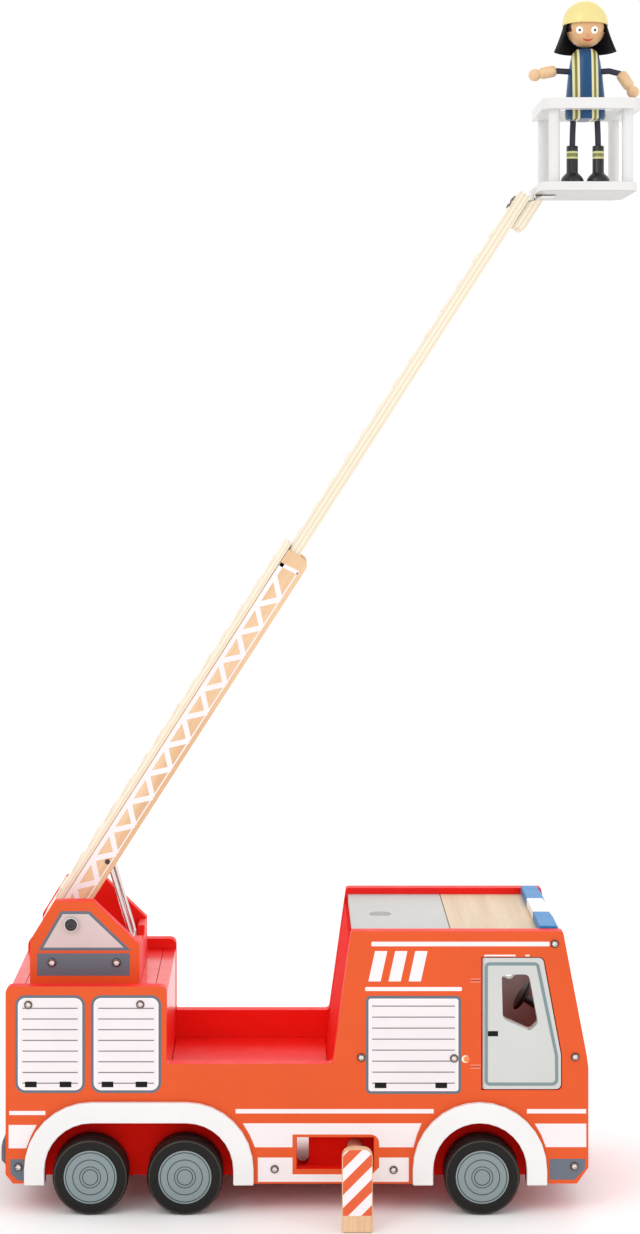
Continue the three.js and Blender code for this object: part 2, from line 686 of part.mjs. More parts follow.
// ---- Figure -------------------------------------------------------------------------------
// Heights below are above the cage floor.
const SOLE = GAP;
const BODY_SPAN = [45.15, 96.55];
const ARM_HEIGHT = 79.55;
const HEAD = { z: 110.85, radius: 14.2 };
const BRIM = 113.15;
const CROWN = 130.25;
const LEG_SPREAD = 9.2;

function figureLeg() {
  return turnedZ([
    [0, SOLE],
    [8.3, SOLE],
    [8.3, SOLE + 2],
    [6.9, SOLE + 5],
    [4.1, SOLE + 7.6],
    [4.1, SOLE + 27],
    [2.1, SOLE + 27],
    [2.1, BODY_SPAN[0] - GAP],
    [0, BODY_SPAN[0] - GAP],
  ], 20);
}

function figureBody() {
  const [low, high] = BODY_SPAN;
  const cone = turnedZ([[0, low], [14.6, low], [9.9, high - 7], [7, high - 1], [0, high - 1]], 28);
  return cut(cone, rodBetween([-30, 0, ARM_HEIGHT], [30, 0, ARM_HEIGHT], 2.5, 12));
}

// The bendable arm runs through the body; a wooden forearm sits on each end.
function figureArms() {
  const rearElbow = [-22, 0, 80.5];
  const rearHand = [-35.8, 0, 77.35];
  const foreElbow = [26, 0, 77.8];
  const foreHand = [33.8, 0, 65.45];
  const shoulder = [18, 0, ARM_HEIGHT];
  return join(
    rodBetween([-24, 0, ARM_HEIGHT], shoulder, 2.1),
    rodBetween(shoulder, foreElbow, 2.1),
    ball(shoulder, 2.1, 12),
    rodBetween(rearElbow, rearHand, 4.2, 14),
    ball(rearElbow, 4.2),
    ball(rearHand, HAND_RADIUS),
    rodBetween(foreElbow, foreHand, 4.2, 14),
    ball(foreElbow, 4.2),
    ball(foreHand, HAND_RADIUS, 24),
  );
}

function helmet() {
  const [outer, inner] = [16.2, HEAD.radius + 0.4];
  const profile = [];
  const steps = 7;
  for (let i = 0; i <= steps; i += 1) {
    const angle = (i / steps) * (Math.PI / 2);
    profile.push([outer * Math.cos(angle), BRIM + (CROWN - BRIM) * Math.sin(angle)]);
  }
  for (let i = steps; i >= 0; i -= 1) {
    const low = Math.asin((BRIM - HEAD.z) / inner);
    const angle = low + (i / steps) * (Math.PI / 2 - low);
    profile.push([inner * Math.cos(angle), HEAD.z + inner * Math.sin(angle)]);
  }
  profile.push(profile[0]);
  profile[steps][0] = 0;
  profile[steps + 1][0] = 0;
  return turnedZ(profile, 28);
}

// The cloth cape below the helmet, open in front of the face.
function neckGuard() {
  const [high, low] = [BRIM - 0.5, 93.25];
  const skirt = turnedZ([[15, high], [22, low], [20.8, low], [14.8, low + 16], [15, high]].reverse(), 32);
  const face = outline([[0, 6], [-30, -18], [-30, -40], [30, -40], [30, -18]]);
  return cut(skirt, slabZ(new THREE.Shape(face), low - 1, high + 1));
}

function buildFigure(cage) {
  const figure = new THREE.Group();
  figure.position.set(FIGURE.x, FIGURE.y, CAGE.floor[1]);
  cage.add(figure);
  add(figure, 'figure_body', figureBody(), NAVY);
  add(figure, 'figure_head', ball([0, 0, 0], HEAD.radius, 24), SKIN).position.z = HEAD.z;
  add(figure, 'figure_helmet', helmet(), HELMET);
  add(figure, 'figure_neck_guard', neckGuard(), BLACK);
  add(figure, 'figure_arms', figureArms(), WOOD);
  add(figure, 'figure_leg_rear', figureLeg(), BLACK).position.x = -LEG_SPREAD;
  add(figure, 'figure_leg_front', figureLeg(), BLACK).position.x = LEG_SPREAD;
}

buildBody();
buildCabPieces();
buildWheels();
buildOutriggers();
const turntable = buildTurntable();
const ladder = buildLadder(turntable);
buildFixedLeaf(ladder);
buildFigure(buildCage(ladder));

export default model;
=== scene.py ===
"""The looks of a wooden toy fire engine: paint, print, wood grain, screws, wheels and the fire-fighter.

Lengths are in millimetres in the engine's own frame: X forward from the middle of the side panels, Y to
the left, Z up from the ground. place() turns them into the scene's metres.
"""
import functools
import math

import bmesh
import bpy
from mathutils import Matrix, Vector


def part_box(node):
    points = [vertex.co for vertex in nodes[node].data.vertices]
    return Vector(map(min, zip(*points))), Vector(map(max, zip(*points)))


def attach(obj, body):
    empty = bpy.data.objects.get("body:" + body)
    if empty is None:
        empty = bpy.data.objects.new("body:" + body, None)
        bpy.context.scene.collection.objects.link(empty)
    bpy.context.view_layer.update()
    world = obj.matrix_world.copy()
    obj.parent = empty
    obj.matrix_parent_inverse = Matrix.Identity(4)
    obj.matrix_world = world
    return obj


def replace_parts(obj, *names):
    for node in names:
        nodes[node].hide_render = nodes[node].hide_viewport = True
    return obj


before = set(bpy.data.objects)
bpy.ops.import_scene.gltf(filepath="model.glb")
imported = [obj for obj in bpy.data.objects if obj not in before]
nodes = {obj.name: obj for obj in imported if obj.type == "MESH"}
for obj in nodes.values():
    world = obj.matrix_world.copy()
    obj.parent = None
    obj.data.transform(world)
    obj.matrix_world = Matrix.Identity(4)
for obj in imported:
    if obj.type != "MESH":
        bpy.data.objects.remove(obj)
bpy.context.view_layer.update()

MM = 0.001
PANEL_FRONT = 200.0  # X of the side panels' front edge in the engine's frame
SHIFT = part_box("side_panel_near")[1].x - PANEL_FRONT * MM
TO_SCENE = Matrix.Translation((SHIFT, 0, 0)) @ Matrix.Scale(MM, 4)
INK = 0.06  # thickness of a printed mark
SIDES = {"near": -1, "far": 1}


def place(x, y, z):
    return TO_SCENE @ Vector((x, y, z))


def span(node, axis):
    """The lowest and highest value of a CAD node along an axis, in the engine's millimetres."""
    low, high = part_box(node)
    offset = SHIFT if axis == 0 else 0
    return (low[axis] - offset) / MM, (high[axis] - offset) / MM


def middle(node):
    return Vector([sum(span(node, axis)) / 2 for axis in range(3)])


# ---- Driving positions, read from the frame where it holds them
PANEL_FACE = span("side_panel_far", 1)[1]
CHEEK_FACE = span("turntable_cheek_far", 1)[1]
RAIL_FACE = span("ladder_rail_far", 1)[1]
WHEEL_RADIUS = span("wheel_front_near", 2)[1] / 2
LADDER_ANGLE = math.radians(57.2)
PIVOT = middle("ladder_pivot_bolt")
LADDER_MATRIX = Matrix.Translation((PIVOT.x, 0, PIVOT.z)) @ Matrix.Rotation(-LADDER_ANGLE, 4, "Y")
LADDER_MATRIX_SCENE = TO_SCENE @ LADDER_MATRIX
FIGURE = Vector((middle("figure_body").x, middle("figure_body").y, span("figure_leg_rear", 2)[0]))


# ---- Materials
COAT_ROUGHNESS = 0.12
NOISE_RANGE = 0.3, 0.7  # where nearly all values of a noise lie
FIBRE_DEPTH, ORANGE_PEEL_DEPTH = 0.03, 0.02  # bump depths in millimetres


class Shader:
    """A node material with the few kinds of node that this scene needs."""

    def __init__(self, name, roughness=0.5, metallic=0.0, coat=0.0, sheen=0.0, specular=0.5):
        self.material = bpy.data.materials.new(name)
        self.material.use_nodes = True
        self.tree = self.material.node_tree
        self.bsdf = self.tree.nodes["Principled BSDF"]
        for socket, value in (
            ("Roughness", roughness), ("Metallic", metallic), ("Coat Weight", coat),
            ("Coat Roughness", COAT_ROUGHNESS), ("Sheen Weight", sheen), ("Specular IOR Level", specular),
        ):
            self.bsdf.inputs[socket].default_value = value
        self.coordinates = self.add("ShaderNodeTexCoord").outputs["Object"]

    def add(self, kind, **settings):
        node = self.tree.nodes.new(kind)
        for key, value in settings.items():
            setattr(node, key, value)
        return node

    def link(self, source, target):
        if isinstance(source, (int, float, tuple, list, Vector)):
            target.default_value = source
        else:
            self.tree.links.new(source, target)

    def math(self, operation, *values):
        node = self.add("ShaderNodeMath", operation=operation)
        for socket, value in zip(node.inputs, values):
            self.link(value, socket)
        return node.outputs[0]

    def vector(self, operation, *values):
        node = self.add("ShaderNodeVectorMath", operation=operation)
        for socket, value in zip(node.inputs, values):
            self.link(value, socket)
        return node.outputs["Value"] if operation in ("DOT_PRODUCT", "LENGTH") else node.outputs[0]

    def scaled(self, vector, factor):
        node = self.add("ShaderNodeVectorMath", operation="SCALE")
        self.link(vector, node.inputs[0])
        self.link(factor, node.inputs["Scale"])
        return node.outputs[0]

    def facing(self, direction):
        """The cosine of the angle between a face's normal and a direction."""
        normal = self.add("ShaderNodeTexCoord").outputs["Normal"]
        return self.vector("DOT_PRODUCT", normal, tuple(direction))

    def along(self, direction, origin=(0, 0, 0)):
        """Millimetres along a direction, counted from a point of the scene."""
        from_origin = self.vector("SUBTRACT", self.coordinates, tuple(origin))
        return self.math("MULTIPLY", self.vector("DOT_PRODUCT", from_origin, tuple(direction)), 1 / MM)

    def stretched(self, direction, along, across):
        """Object coordinates scaled by `along` in one direction and by `across` in the others."""
        reach = self.vector("DOT_PRODUCT", self.coordinates, tuple(direction))
        extra = self.scaled(tuple(direction), self.math("MULTIPLY", reach, along - across))
        return self.vector("ADD", self.scaled(self.coordinates, across), extra)

    def noise(self, vector, scale=1.0, detail=2.0, roughness=0.5):
        node = self.add("ShaderNodeTexNoise")
        self.link(vector, node.inputs["Vector"])
        node.inputs["Scale"].default_value = scale
        node.inputs["Detail"].default_value = detail
        node.inputs["Roughness"].default_value = roughness
        return node.outputs["Fac"]

    def remap(self, value, low, high, new_low, new_high):
        node = self.add("ShaderNodeMapRange")
        self.link(value, node.inputs["Value"])
        limits = {"From Min": low, "From Max": high, "To Min": new_low, "To Max": new_high}
        for socket, number in limits.items():
            node.inputs[socket].default_value = number
        return node.outputs[0]

    def spread(self, noise, new_low, new_high):
        return self.remap(noise, *NOISE_RANGE, new_low, new_high)

    def mix(self, factor, first, second, blend="MIX"):
        node = self.add("ShaderNodeMix", data_type="RGBA", blend_type=blend)
        self.link(factor, node.inputs["Factor"])
        for socket, colour in ((node.inputs[6], first), (node.inputs[7], second)):
            self.link((*colour, 1) if isinstance(colour, tuple) and len(colour) == 3 else colour, socket)
        return node.outputs[2]

    def bands(self, value, low, high, stops):
        """A constant ramp over value from low to high: stops are (start, colour) in the same units."""
        ramp = self.add("ShaderNodeValToRGB")
        ramp.color_ramp.interpolation = "CONSTANT"
        elements = ramp.color_ramp.elements
        elements[0].position = 0
        elements[0].color = (*stops[0][1], 1)
        elements.remove(elements[1])
        for start, colour in stops[1:]:
            elements.new((start - low) / (high - low)).color = (*colour, 1)
        self.link(self.remap(value, low, high, 0, 1), ramp.inputs["Fac"])
        return ramp.outputs["Color"]

    def colour(self, value):
        self.link(value, self.bsdf.inputs["Base Color"])

    def gloss(self, value):
        self.link(value, self.bsdf.inputs["Roughness"])

    def outward(self, side):
        """One on faces that look outwards from the near or far side, zero elsewhere."""
        return self.math("GREATER_THAN", self.facing((0, side, 0)), 0.9)

    def bump(self, height, depth_mm):
        node = self.add("ShaderNodeBump")
        node.inputs["Distance"].default_value = depth_mm * MM
        self.link(height, node.inputs["Height"])
        self.link(node.outputs[0], self.bsdf.inputs["Normal"])


def rgb(code):
    """Linear colour from a hexadecimal sRGB code."""
    values = [int(code[i:i + 2], 16) / 255 for i in (1, 3, 5)]
    return tuple(v / 12.92 if v <= 0.04045 else ((v + 0.055) / 1.055) ** 2.4 for v in values)


def tinted(colour, factor):
    return tuple(min(1.0, channel * factor) for channel in colour)


def paint_finish(shader, colour, roughness):
    """Sprayed paint: faint cloudiness, orange peel and uneven gloss over any colour."""
    shade = shader.spread(shader.noise(shader.coordinates, 14, 3), 0.965, 1.035)
    tone = shader.add("ShaderNodeCombineColor")
    for socket in tone.inputs:
        shader.link(shade, socket)
    shader.colour(shader.mix(1.0, colour, tone.outputs[0], "MULTIPLY"))
    uneven = shader.noise(shader.coordinates, 90, 2)
    shader.gloss(shader.spread(uneven, roughness - 0.04, roughness + 0.06))
    shader.bump(shader.noise(shader.coordinates, 1100, 2), ORANGE_PEEL_DEPTH)
    return shader.material


def painted(name, colour, roughness=0.4, coat=0.15, specular=0.5):
    return paint_finish(Shader(name, coat=coat, specular=specular), colour, roughness)


def printed_board(name, side):
    """Red paint, with the outward face overprinted in a warmer orange-red."""
    shader = Shader(name, specular=0.25)
    return paint_finish(shader, shader.mix(shader.outward(side), RED_COLOUR, PRINT_RED_COLOUR), 0.45)


def shaded_below(name, colour, roughness, shade):
    """Paint with painted shade: its colour is darkened by `shade` on the faces that look down."""
    shader = Shader(name, coat=0.1)
    below = shader.math("LESS_THAN", shader.facing((0, 0, 1)), -0.7)
    return paint_finish(shader, shader.mix(below, colour, tinted(colour, shade)), roughness)


def wood_colour(shader, light, dark, direction, flecks=0.5):
    """Straight-grained wood: broad growth bands, fine fibres and short darker flecks."""
    growth = shader.noise(shader.stretched(direction, 6, 120), 1, 4, 0.6)
    fibre = shader.noise(shader.stretched(direction, 60, 1500), 1, 3, 0.6)
    fleck = shader.noise(shader.stretched(direction, 260, 2600), 1, 1)
    base = shader.mix(shader.remap(growth, 0.35, 0.68, 0, 1), light, dark)
    base = shader.mix(shader.remap(fibre, 0.4, 0.75, 0, 0.35), base, tinted(dark, 0.85))
    spots = shader.remap(fleck, 0.66, 0.74, 0, flecks)
    return shader.mix(spots, base, tinted(dark, 0.62)), fibre


def wooden(name, light, dark, direction, roughness=0.45):
    shader = Shader(name, roughness, coat=0.1)
    colour, fibre = wood_colour(shader, light, dark, direction)
    shader.colour(colour)
    shader.bump(fibre, FIBRE_DEPTH)
    return shader.material


PLY = 1.55  # thickness of one ply


def plywood(name, grain, origin):
    """Birch plywood of the ladder: a pale face, and edges that show its plies across the thickness."""
    shader = Shader(name, 0.5, coat=0.06)
    face, fibre = wood_colour(shader, BIRCH_LIGHT, BIRCH_DARK, grain, flecks=0.2)
    layer = shader.math("PINGPONG", shader.along(LADDER_UP, origin), PLY)
    wave = shader.remap(layer, PLY * 0.35, PLY * 0.65, 0, 1)
    edge = shader.mix(wave, BIRCH_LIGHT, tinted(BIRCH_DARK, 0.86))
    on_face = shader.remap(shader.math("ABSOLUTE", shader.facing(LADDER_UP)), 0.55, 0.75, 0, 1)
    shader.colour(shader.mix(on_face, shader.mix(0.65, face, edge), face))
    shader.bump(fibre, FIBRE_DEPTH)
    return shader.material


def metal(name, colour, roughness):
    shader = Shader(name, roughness, metallic=1)
    grain = shader.noise(shader.coordinates, 700, 3)
    shader.colour(shader.mix(shader.spread(grain, 0, 1), tinted(colour, 0.92), colour))
    shader.gloss(shader.spread(grain, roughness - 0.06, roughness + 0.1))
    shader.bump(grain, 0.01)
    return shader.material


X_AXIS, Y_AXIS, Z_AXIS = Vector((1, 0, 0)), Vector((0, 1, 0)), Vector((0, 0, 1))
LADDER_ALONG = Vector((math.cos(LADDER_ANGLE), 0, math.sin(LADDER_ANGLE)))
LADDER_UP = Vector((-math.sin(LADDER_ANGLE), 0, math.cos(LADDER_ANGLE)))

RED_COLOUR = rgb("#f0180d")
PRINT_RED_COLOUR = rgb("#df5623")
SLATE_COLOUR = rgb("#5f6874")
BEECH_LIGHT, BEECH_DARK = rgb("#ecc9a2"), rgb("#dbae82")
BIRCH_LIGHT, BIRCH_DARK = rgb("#f3e7d3"), rgb("#ebdcc2")



def printing_ink(name, code, roughness=0.45):
    return painted(f"{name}_ink", rgb(code), roughness, 0.05)


RED = painted("red_paint", RED_COLOUR, 0.42, 0.1, 0.3)
DECK_RED = painted("deck_red_paint", RED_COLOUR, 0.36, 0.5)
SATIN_RED = painted("satin_red_paint", RED_COLOUR, 0.7, 0, 0.05)
BOARD_RED = {name: printed_board(f"red_board_{name}", side) for name, side in SIDES.items()}
WHITE = painted("white_paint", rgb("#e9e8e7"))
GREY = painted("grey_paint", rgb("#c9cac7"))
LID_GREY = painted("lid_grey_paint", rgb("#bdbdbb"), 0.5, 0.05)
SLATE = painted("slate_paint", SLATE_COLOUR, 0.35)
PRINT_WHITE = printing_ink("white", "#f1e8e9")
PRINT_FILL = printing_ink("pale", "#ebe3e5")
PRINT_SLATE = painted("slate_ink", SLATE_COLOUR, 0.42, 0.05)
PRINT_LINE = painted("line_ink", rgb("#6a6c70"), 0.45, 0.0)
PRINT_BLACK = painted("black_ink", rgb("#0c0b0c"), 0.5, 0, 0.2)
PRINT_ROSE = printing_ink("rose", "#d2c0bd")
PRINT_SEA = printing_ink("sea_grey", "#778c8f", 0.42)
PRINT_AMBER = printing_ink("amber", "#f58347", 0.4)
PAINTED_GLINT_INK = printing_ink("glint_cream", "#f6e8cf")
# Inks for painted light on the hinge straps: salmon for painted highlight, brick for painted shadow.
PAINTED_HIGHLIGHT_INK = printing_ink("highlight_salmon", "#f4937c")
PAINTED_SHADOW_INK = printing_ink("shadow_brick", "#9c3d2a")
BLACK = painted("black_plastic", rgb("#1b1b1c"), 0.45, 0)
STEEL = metal("zinc_steel", (0.72, 0.71, 0.70), 0.24)
# Two copies of one screw steel: a bright one for painted highlight, a dark one for painted shade.
SCREW_STEEL_LIT = metal("screw_steel_painted_highlight", (0.80, 0.74, 0.70), 0.2)
SCREW_STEEL_SHADED = metal("screw_steel_painted_shade", (0.16, 0.12, 0.11), 0.3)
BLACK_CHROME = metal("black_chrome", (0.07, 0.06, 0.06), 0.18)
# A lighter copy of the beech for the outrigger arms: painted light on arms that sit in a shaded recess.
BEECH_ACROSS_BRIGHTENED = wooden("beech_across_brightened", rgb("#f7ddb9"), rgb("#ecc79a"), Y_AXIS)
# A darker copy of the white paint for the cage: painted shade over the whole cage.
CAGE_WHITE_SHADED_COLOUR = rgb("#dedddc")
CAGE_WHITE_SHADED = painted("cage_white_shaded_paint", CAGE_WHITE_SHADED_COLOUR)
ROOF_BEECH = wooden("roof_beech", rgb("#dcc5a6"), rgb("#cfb492"), Y_AXIS, 0.55)
BEECH_RAIL = wooden("beech_rail", BEECH_LIGHT, BEECH_DARK, LADDER_ALONG)


def light_bar_material():
    """Blue, white and blue thirds across the roof."""
    shader = Shader("light_bar_paint", coat=0.04)
    third = span("light_bar", 1)[1] / 3
    blue, white = rgb("#0f7cbc"), rgb("#efefef")
    across = shader.along(Y_AXIS)
    stops = [(-3 * third, blue), (-third, white), (third, blue)]
    return paint_finish(shader, shader.bands(across, -3 * third, 3 * third, stops), 0.48)


def leg_material(side):
    """Beech with slanted orange and white stripes printed on the outer face, above the bare foot."""
    shader = Shader("outrigger_stripes", 0.45, coat=0.08)
    bare, fibre = wood_colour(shader, BEECH_LIGHT, BEECH_DARK, Z_AXIS)
    period, white_start, print_foot = 17.3, 4.75, 11.7
    whole_periods = 20  # keeps the phase above zero
    rise = shader.along(Vector((side, 0, 1)), place(*middle("outrigger_arm_near")))
    turns = shader.math("DIVIDE", shader.math("ADD", rise, whole_periods * period - white_start), period)
    stripe = shader.math("GREATER_THAN", shader.math("FRACT", turns), 0.5)
    ink = shader.mix(stripe, rgb("#efe9ec"), PRINT_RED_COLOUR)
    above_foot = shader.math("GREATER_THAN", shader.along(Z_AXIS), print_foot)
    printed = shader.math("MULTIPLY", shader.outward(side), above_foot)
    shader.colour(shader.mix(printed, bare, ink))
    shader.bump(fibre, FIBRE_DEPTH)
    return shader.material


# ---- Finishing CAD nodes
def finish(node, material, bevel=0.8, segments=3):
    """Gives a CAD node its material and rounds its edges without moving a vertex of its mesh."""
    piece = nodes[node]
    piece.data.materials.clear()
    piece.data.materials.append(material)
    for polygon in piece.data.polygons:
        polygon.use_smooth = True
    weld = piece.modifiers.new("weld", "WELD")
    weld.merge_threshold = 1e-6
    flat = piece.modifiers.new("flat_faces", "DECIMATE")
    flat.decimate_type = "DISSOLVE"
    flat.angle_limit = math.radians(0.6)
    if bevel:
        edge = piece.modifiers.new("rounded_edges", "BEVEL")
        edge.width = bevel * MM
        edge.segments = segments
        edge.limit_method = "ANGLE"
        edge.angle_limit = math.radians(35)
    piece.modifiers.new("even_shading", "WEIGHTED_NORMAL")
    return piece


# ---- New pieces
def show(name, data):
    shown = bpy.data.objects.new(name, data)
    bpy.context.scene.collection.objects.link(shown)
    return shown


def add_piece(name, vertices, faces, material, body, matrix, smooth=True):
    """A mesh piece from vertices in the engine's millimetres."""
    mesh = bpy.data.meshes.new(name)
    mesh.from_pydata([tuple(v) for v in vertices], [], faces)
    whole = TO_SCENE @ matrix
    mesh.transform(whole)
    if whole.determinant() < 0:
        mesh.flip_normals()
    mesh.validate()
    mesh.update()
    for polygon in mesh.polygons:
        polygon.use_smooth = smooth
    for one in material if isinstance(material, (list, tuple)) else [material]:
        mesh.materials.append(one)
    piece = show(name, mesh)
    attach(piece, body)
    return piece


CORNER_STEPS = 8


def bends(corners):
    """For each corner (u, v) or (u, v, radius) of a closed outline: its place, its radius, the directions
    to its neighbours and half the angle between them."""
    for index, corner in enumerate(corners):
        here = Vector(corner[:2])
        before = (Vector(corners[index - 1][:2]) - here).normalized()
        after = (Vector(corners[(index + 1) % len(corners)][:2]) - here).normalized()
        yield here, corner[2] if len(corner) > 2 else 0, before, after, before.angle(after) / 2


def outline(corners):
    """Points of a closed outline, with its corners rounded."""
    points = []
    for here, radius, before, after, half in bends(corners):
        if not radius:
            points.append(here)
            continue
        centre = here + (before + after).normalized() * (radius / math.sin(half))
        start = here + before * (radius / math.tan(half)) - centre
        end = here + after * (radius / math.tan(half)) - centre
        sweep = start.angle_signed(end)
        for step in range(CORNER_STEPS + 1):
            points.append(centre + Matrix.Rotation(-sweep * step / CORNER_STEPS, 2) @ start)
    return points


def rectangle(u0, u1, v0, v1, radius=0.0):
    return [(u0, v0, radius), (u1, v0, radius), (u1, v1, radius), (u0, v1, radius)]


def disc(u, v, radius):
    sides = 24
    angles = [2 * math.pi * step / sides for step in range(sides)]
    return [(u + radius * math.cos(angle), v + radius * math.sin(angle)) for angle in angles]


def inset(corners, distance):
    """The same convex outline, moved inwards by a distance, with its corner radii reduced."""
    result = []
    least_radius = 0.4
    for here, radius, before, after, half in bends(corners):
        moved = here + (before + after).normalized() * (distance / math.sin(half))
        result.append((moved.x, moved.y, max(radius - distance, least_radius) if radius else 0))
    return result


def face_matrix(side, face):
    """Maps (u, v, w) to X, Z and outward from a face at |Y| = face."""
    return Matrix(((1, 0, 0, 0), (0, 0, side, side * face), (0, 1, 0, 0), (0, 0, 0, 1)))


def flat_shape(name, shapes, low, high, material, body, matrix):
    """Filled outlines in the (u, v) plane, given thickness from w = low to high. Each shape is a list of
    corner lists: an outer outline, then its holes."""
    vertices, faces = [], []
    for outlines in shapes:
        curve = bpy.data.curves.new(name, "CURVE")
        curve.dimensions = "2D"
        curve.fill_mode = "BOTH"
        curve.extrude = (high - low) / 2
        for corners in outlines:
            points = outline(corners)
            spline = curve.splines.new("POLY")
            spline.points.add(len(points) - 1)
            for point, target in zip(points, spline.points):
                target.co = (point.x, point.y, 0, 1)
            spline.use_cyclic_u = True
        holder = bpy.data.objects.new(name, curve)
        mesh = bpy.data.meshes.new_from_object(holder)
        first = len(vertices)
        vertices += [(v.co.x, v.co.y, v.co.z + (low + high) / 2) for v in mesh.vertices]
        faces += [[first + i for i in polygon.vertices] for polygon in mesh.polygons]
        bpy.data.objects.remove(holder)
        bpy.data.curves.remove(curve)
        bpy.data.meshes.remove(mesh)
    piece = add_piece(name, vertices, faces, material, body, matrix, smooth=False)
    make_solid(piece)
    return piece


def make_solid(piece):
    """Joins doubled vertices and turns every face outwards."""
    work = bmesh.new()
    work.from_mesh(piece.data)
    bmesh.ops.remove_doubles(work, verts=work.verts, dist=1e-7)
    bmesh.ops.recalc_face_normals(work, faces=work.faces)
    work.to_mesh(piece.data)
    work.free()


def bridge(low, high, count):
    """Quads between two rings of vertices, which start at the indices low and high."""
    return [(low + i, low + (i + 1) % count, high + (i + 1) % count, high + i) for i in range(count)]


def ink(name, shapes, material, body, slot, matrix, level=0):
    """A printed mark; a higher level lies on top of a lower one."""
    return flat_shape(name, shapes, -0.02, INK * (level + 1), material, body, matrix)


def rounded_piece(name, vertices, faces, material, body, matrix, sharp):
    """A smooth piece whose edges of more than `sharp` degrees stay crisp."""
    piece = add_piece(name, vertices, faces, material, body, matrix)
    make_solid(piece)
    piece.data.set_sharp_from_angle(angle=math.radians(sharp))
    return piece


def lathe(name, profile, material, body, matrix, segments, shape=None, sharp=35):
    """Turns a profile of (radius, height), which starts and ends on the axis, round the local Z axis.
    shape(angle, radius) may vary the radius with the angle."""
    vertices, faces = [(0, 0, profile[0][1])], []
    for radius, height in profile[1:-1]:
        for step in range(segments):
            angle = 2 * math.pi * step / segments
            r = shape(angle, radius) if shape else radius
            vertices.append((r * math.cos(angle), r * math.sin(angle), height))
    last_ring, end = len(vertices) - segments, len(vertices)
    vertices.append((0, 0, profile[-1][1]))
    for step in range(segments):
        after = (step + 1) % segments
        faces.append((0, 1 + after, 1 + step))
        faces.append((last_ring + step, last_ring + after, end))
    for low in range(1, last_ring, segments):
        faces += bridge(low, low + segments, segments)
    return rounded_piece(name, vertices, faces, material, body, matrix, sharp)


def tube(name, points, radius, material, body, slot, matrix, bend):
    """A round bar along straight runs with rounded bends, closed at both ends."""
    sides = 20
    path = []
    for index, point in enumerate(points):
        here = Vector(point)
        if index in (0, len(points) - 1) or not bend:
            path.append(here)
            continue
        before = (Vector(points[index - 1]) - here).normalized()
        after = (Vector(points[index + 1]) - here).normalized()
        reach = bend / math.tan(before.angle(after) / 2)
        for step in range(CORNER_STEPS + 1):
            t = step / CORNER_STEPS
            start, end = here + before * reach, here + after * reach
            path.append(start * (1 - t) ** 2 + here * 2 * t * (1 - t) + end * t ** 2)
    vertices, faces = [], []
    side = None
    for index, here in enumerate(path):
        ahead = path[min(index + 1, len(path) - 1)] - path[max(index - 1, 0)]
        ahead.normalize()
        if side is None:
            side = ahead.orthogonal().normalized()
        side = (side - ahead * side.dot(ahead)).normalized()
        other = ahead.cross(side)
        for step in range(sides):
            angle = 2 * math.pi * step / sides
            vertices.append(here + (side * math.cos(angle) + other * math.sin(angle)) * radius)
    for ring in range(len(path) - 1):
        faces += bridge(ring * sides, (ring + 1) * sides, sides)
    faces.append(tuple(reversed(range(sides))))
    faces.append(tuple(range((len(path) - 1) * sides, len(path) * sides)))
    piece = add_piece(name, vertices, faces, material, body, matrix)
    piece.data.set_sharp_from_angle(angle=math.radians(40))
    return piece


def joined(name, parts):
    """Makes one piece of several that share a body."""
    bpy.ops.object.select_all(action="DESELECT")
    for part in parts:
        part.select_set(True)
    bpy.context.view_layer.objects.active = parts[0]
    bpy.ops.object.join()
    parts[0].name = name
    return parts[0]


# ---- Screws
SCREW_RADIUS = 2.9


SOCKET_REACH = SCREW_RADIUS * 0.55  # nothing wider than this is six-sided


def screw_profile(radius):
    socket, socket_floor, foot = radius * 0.5, radius * 0.12, -0.1
    return [
        (0, socket_floor), (socket, socket_floor), (socket, radius * 0.40), (socket * 1.2, radius * 0.44),
        (radius * 0.8, radius * 0.36), (radius * 0.95, radius * 0.2), (radius, 0.05), (radius, foot),
        (0, foot),
    ]


def hexagon(angle, radius):
    """Six flats on the socket; the head outside it stays round."""
    if radius > SOCKET_REACH:
        return radius
    turned = (angle + math.pi / 6) % (math.pi / 3) - math.pi / 6
    return radius * math.cos(math.pi / 6) / math.cos(turned)


def screw(name, body, radius, matrix):
    """A bolt head with a hexagonal socket: bright steel on the dome as painted highlight, dark steel on the
    round edge and the socket's walls as painted shade.
    """
    head = lathe(name, screw_profile(radius), [SCREW_STEEL_LIT, SCREW_STEEL_SHADED], body, matrix, 36, hexagon)
    axis = TO_SCENE @ matrix @ Vector((0, 0, 0))
    for polygon in head.data.polygons:
        reach = (polygon.center - axis).length / MM / radius
        # Painted shade: the dark steel goes on the round edge and on the socket's walls.
        if reach > 0.68 or 0.42 < reach < 0.56:
            polygon.material_index = 1
    return head


def screws(name, places, side, face, body, radius=SCREW_RADIUS):
    parts = []
    for index, (x, z) in enumerate(places):
        matrix = face_matrix(side, face + INK * 2) @ Matrix.Translation((x, z, 0))
        parts.append(screw(f"{name}_{index}", body, radius, matrix))
    return joined(name, parts)


PANEL_SCREWS = [
    (-184.4, 142.1), (-107.5, 142.4), (-191.2, 30.8), (-15.3, 29.4), (66.3, 28.9),
    (44.1, 106.0), (107.8, 105.4), (190.9, 106.4), (176.8, 184.0), (190.4, 31.4),
]
CHEEK_SCREWS = [(-170.9, 164.4), (-125.9, 164.4)]


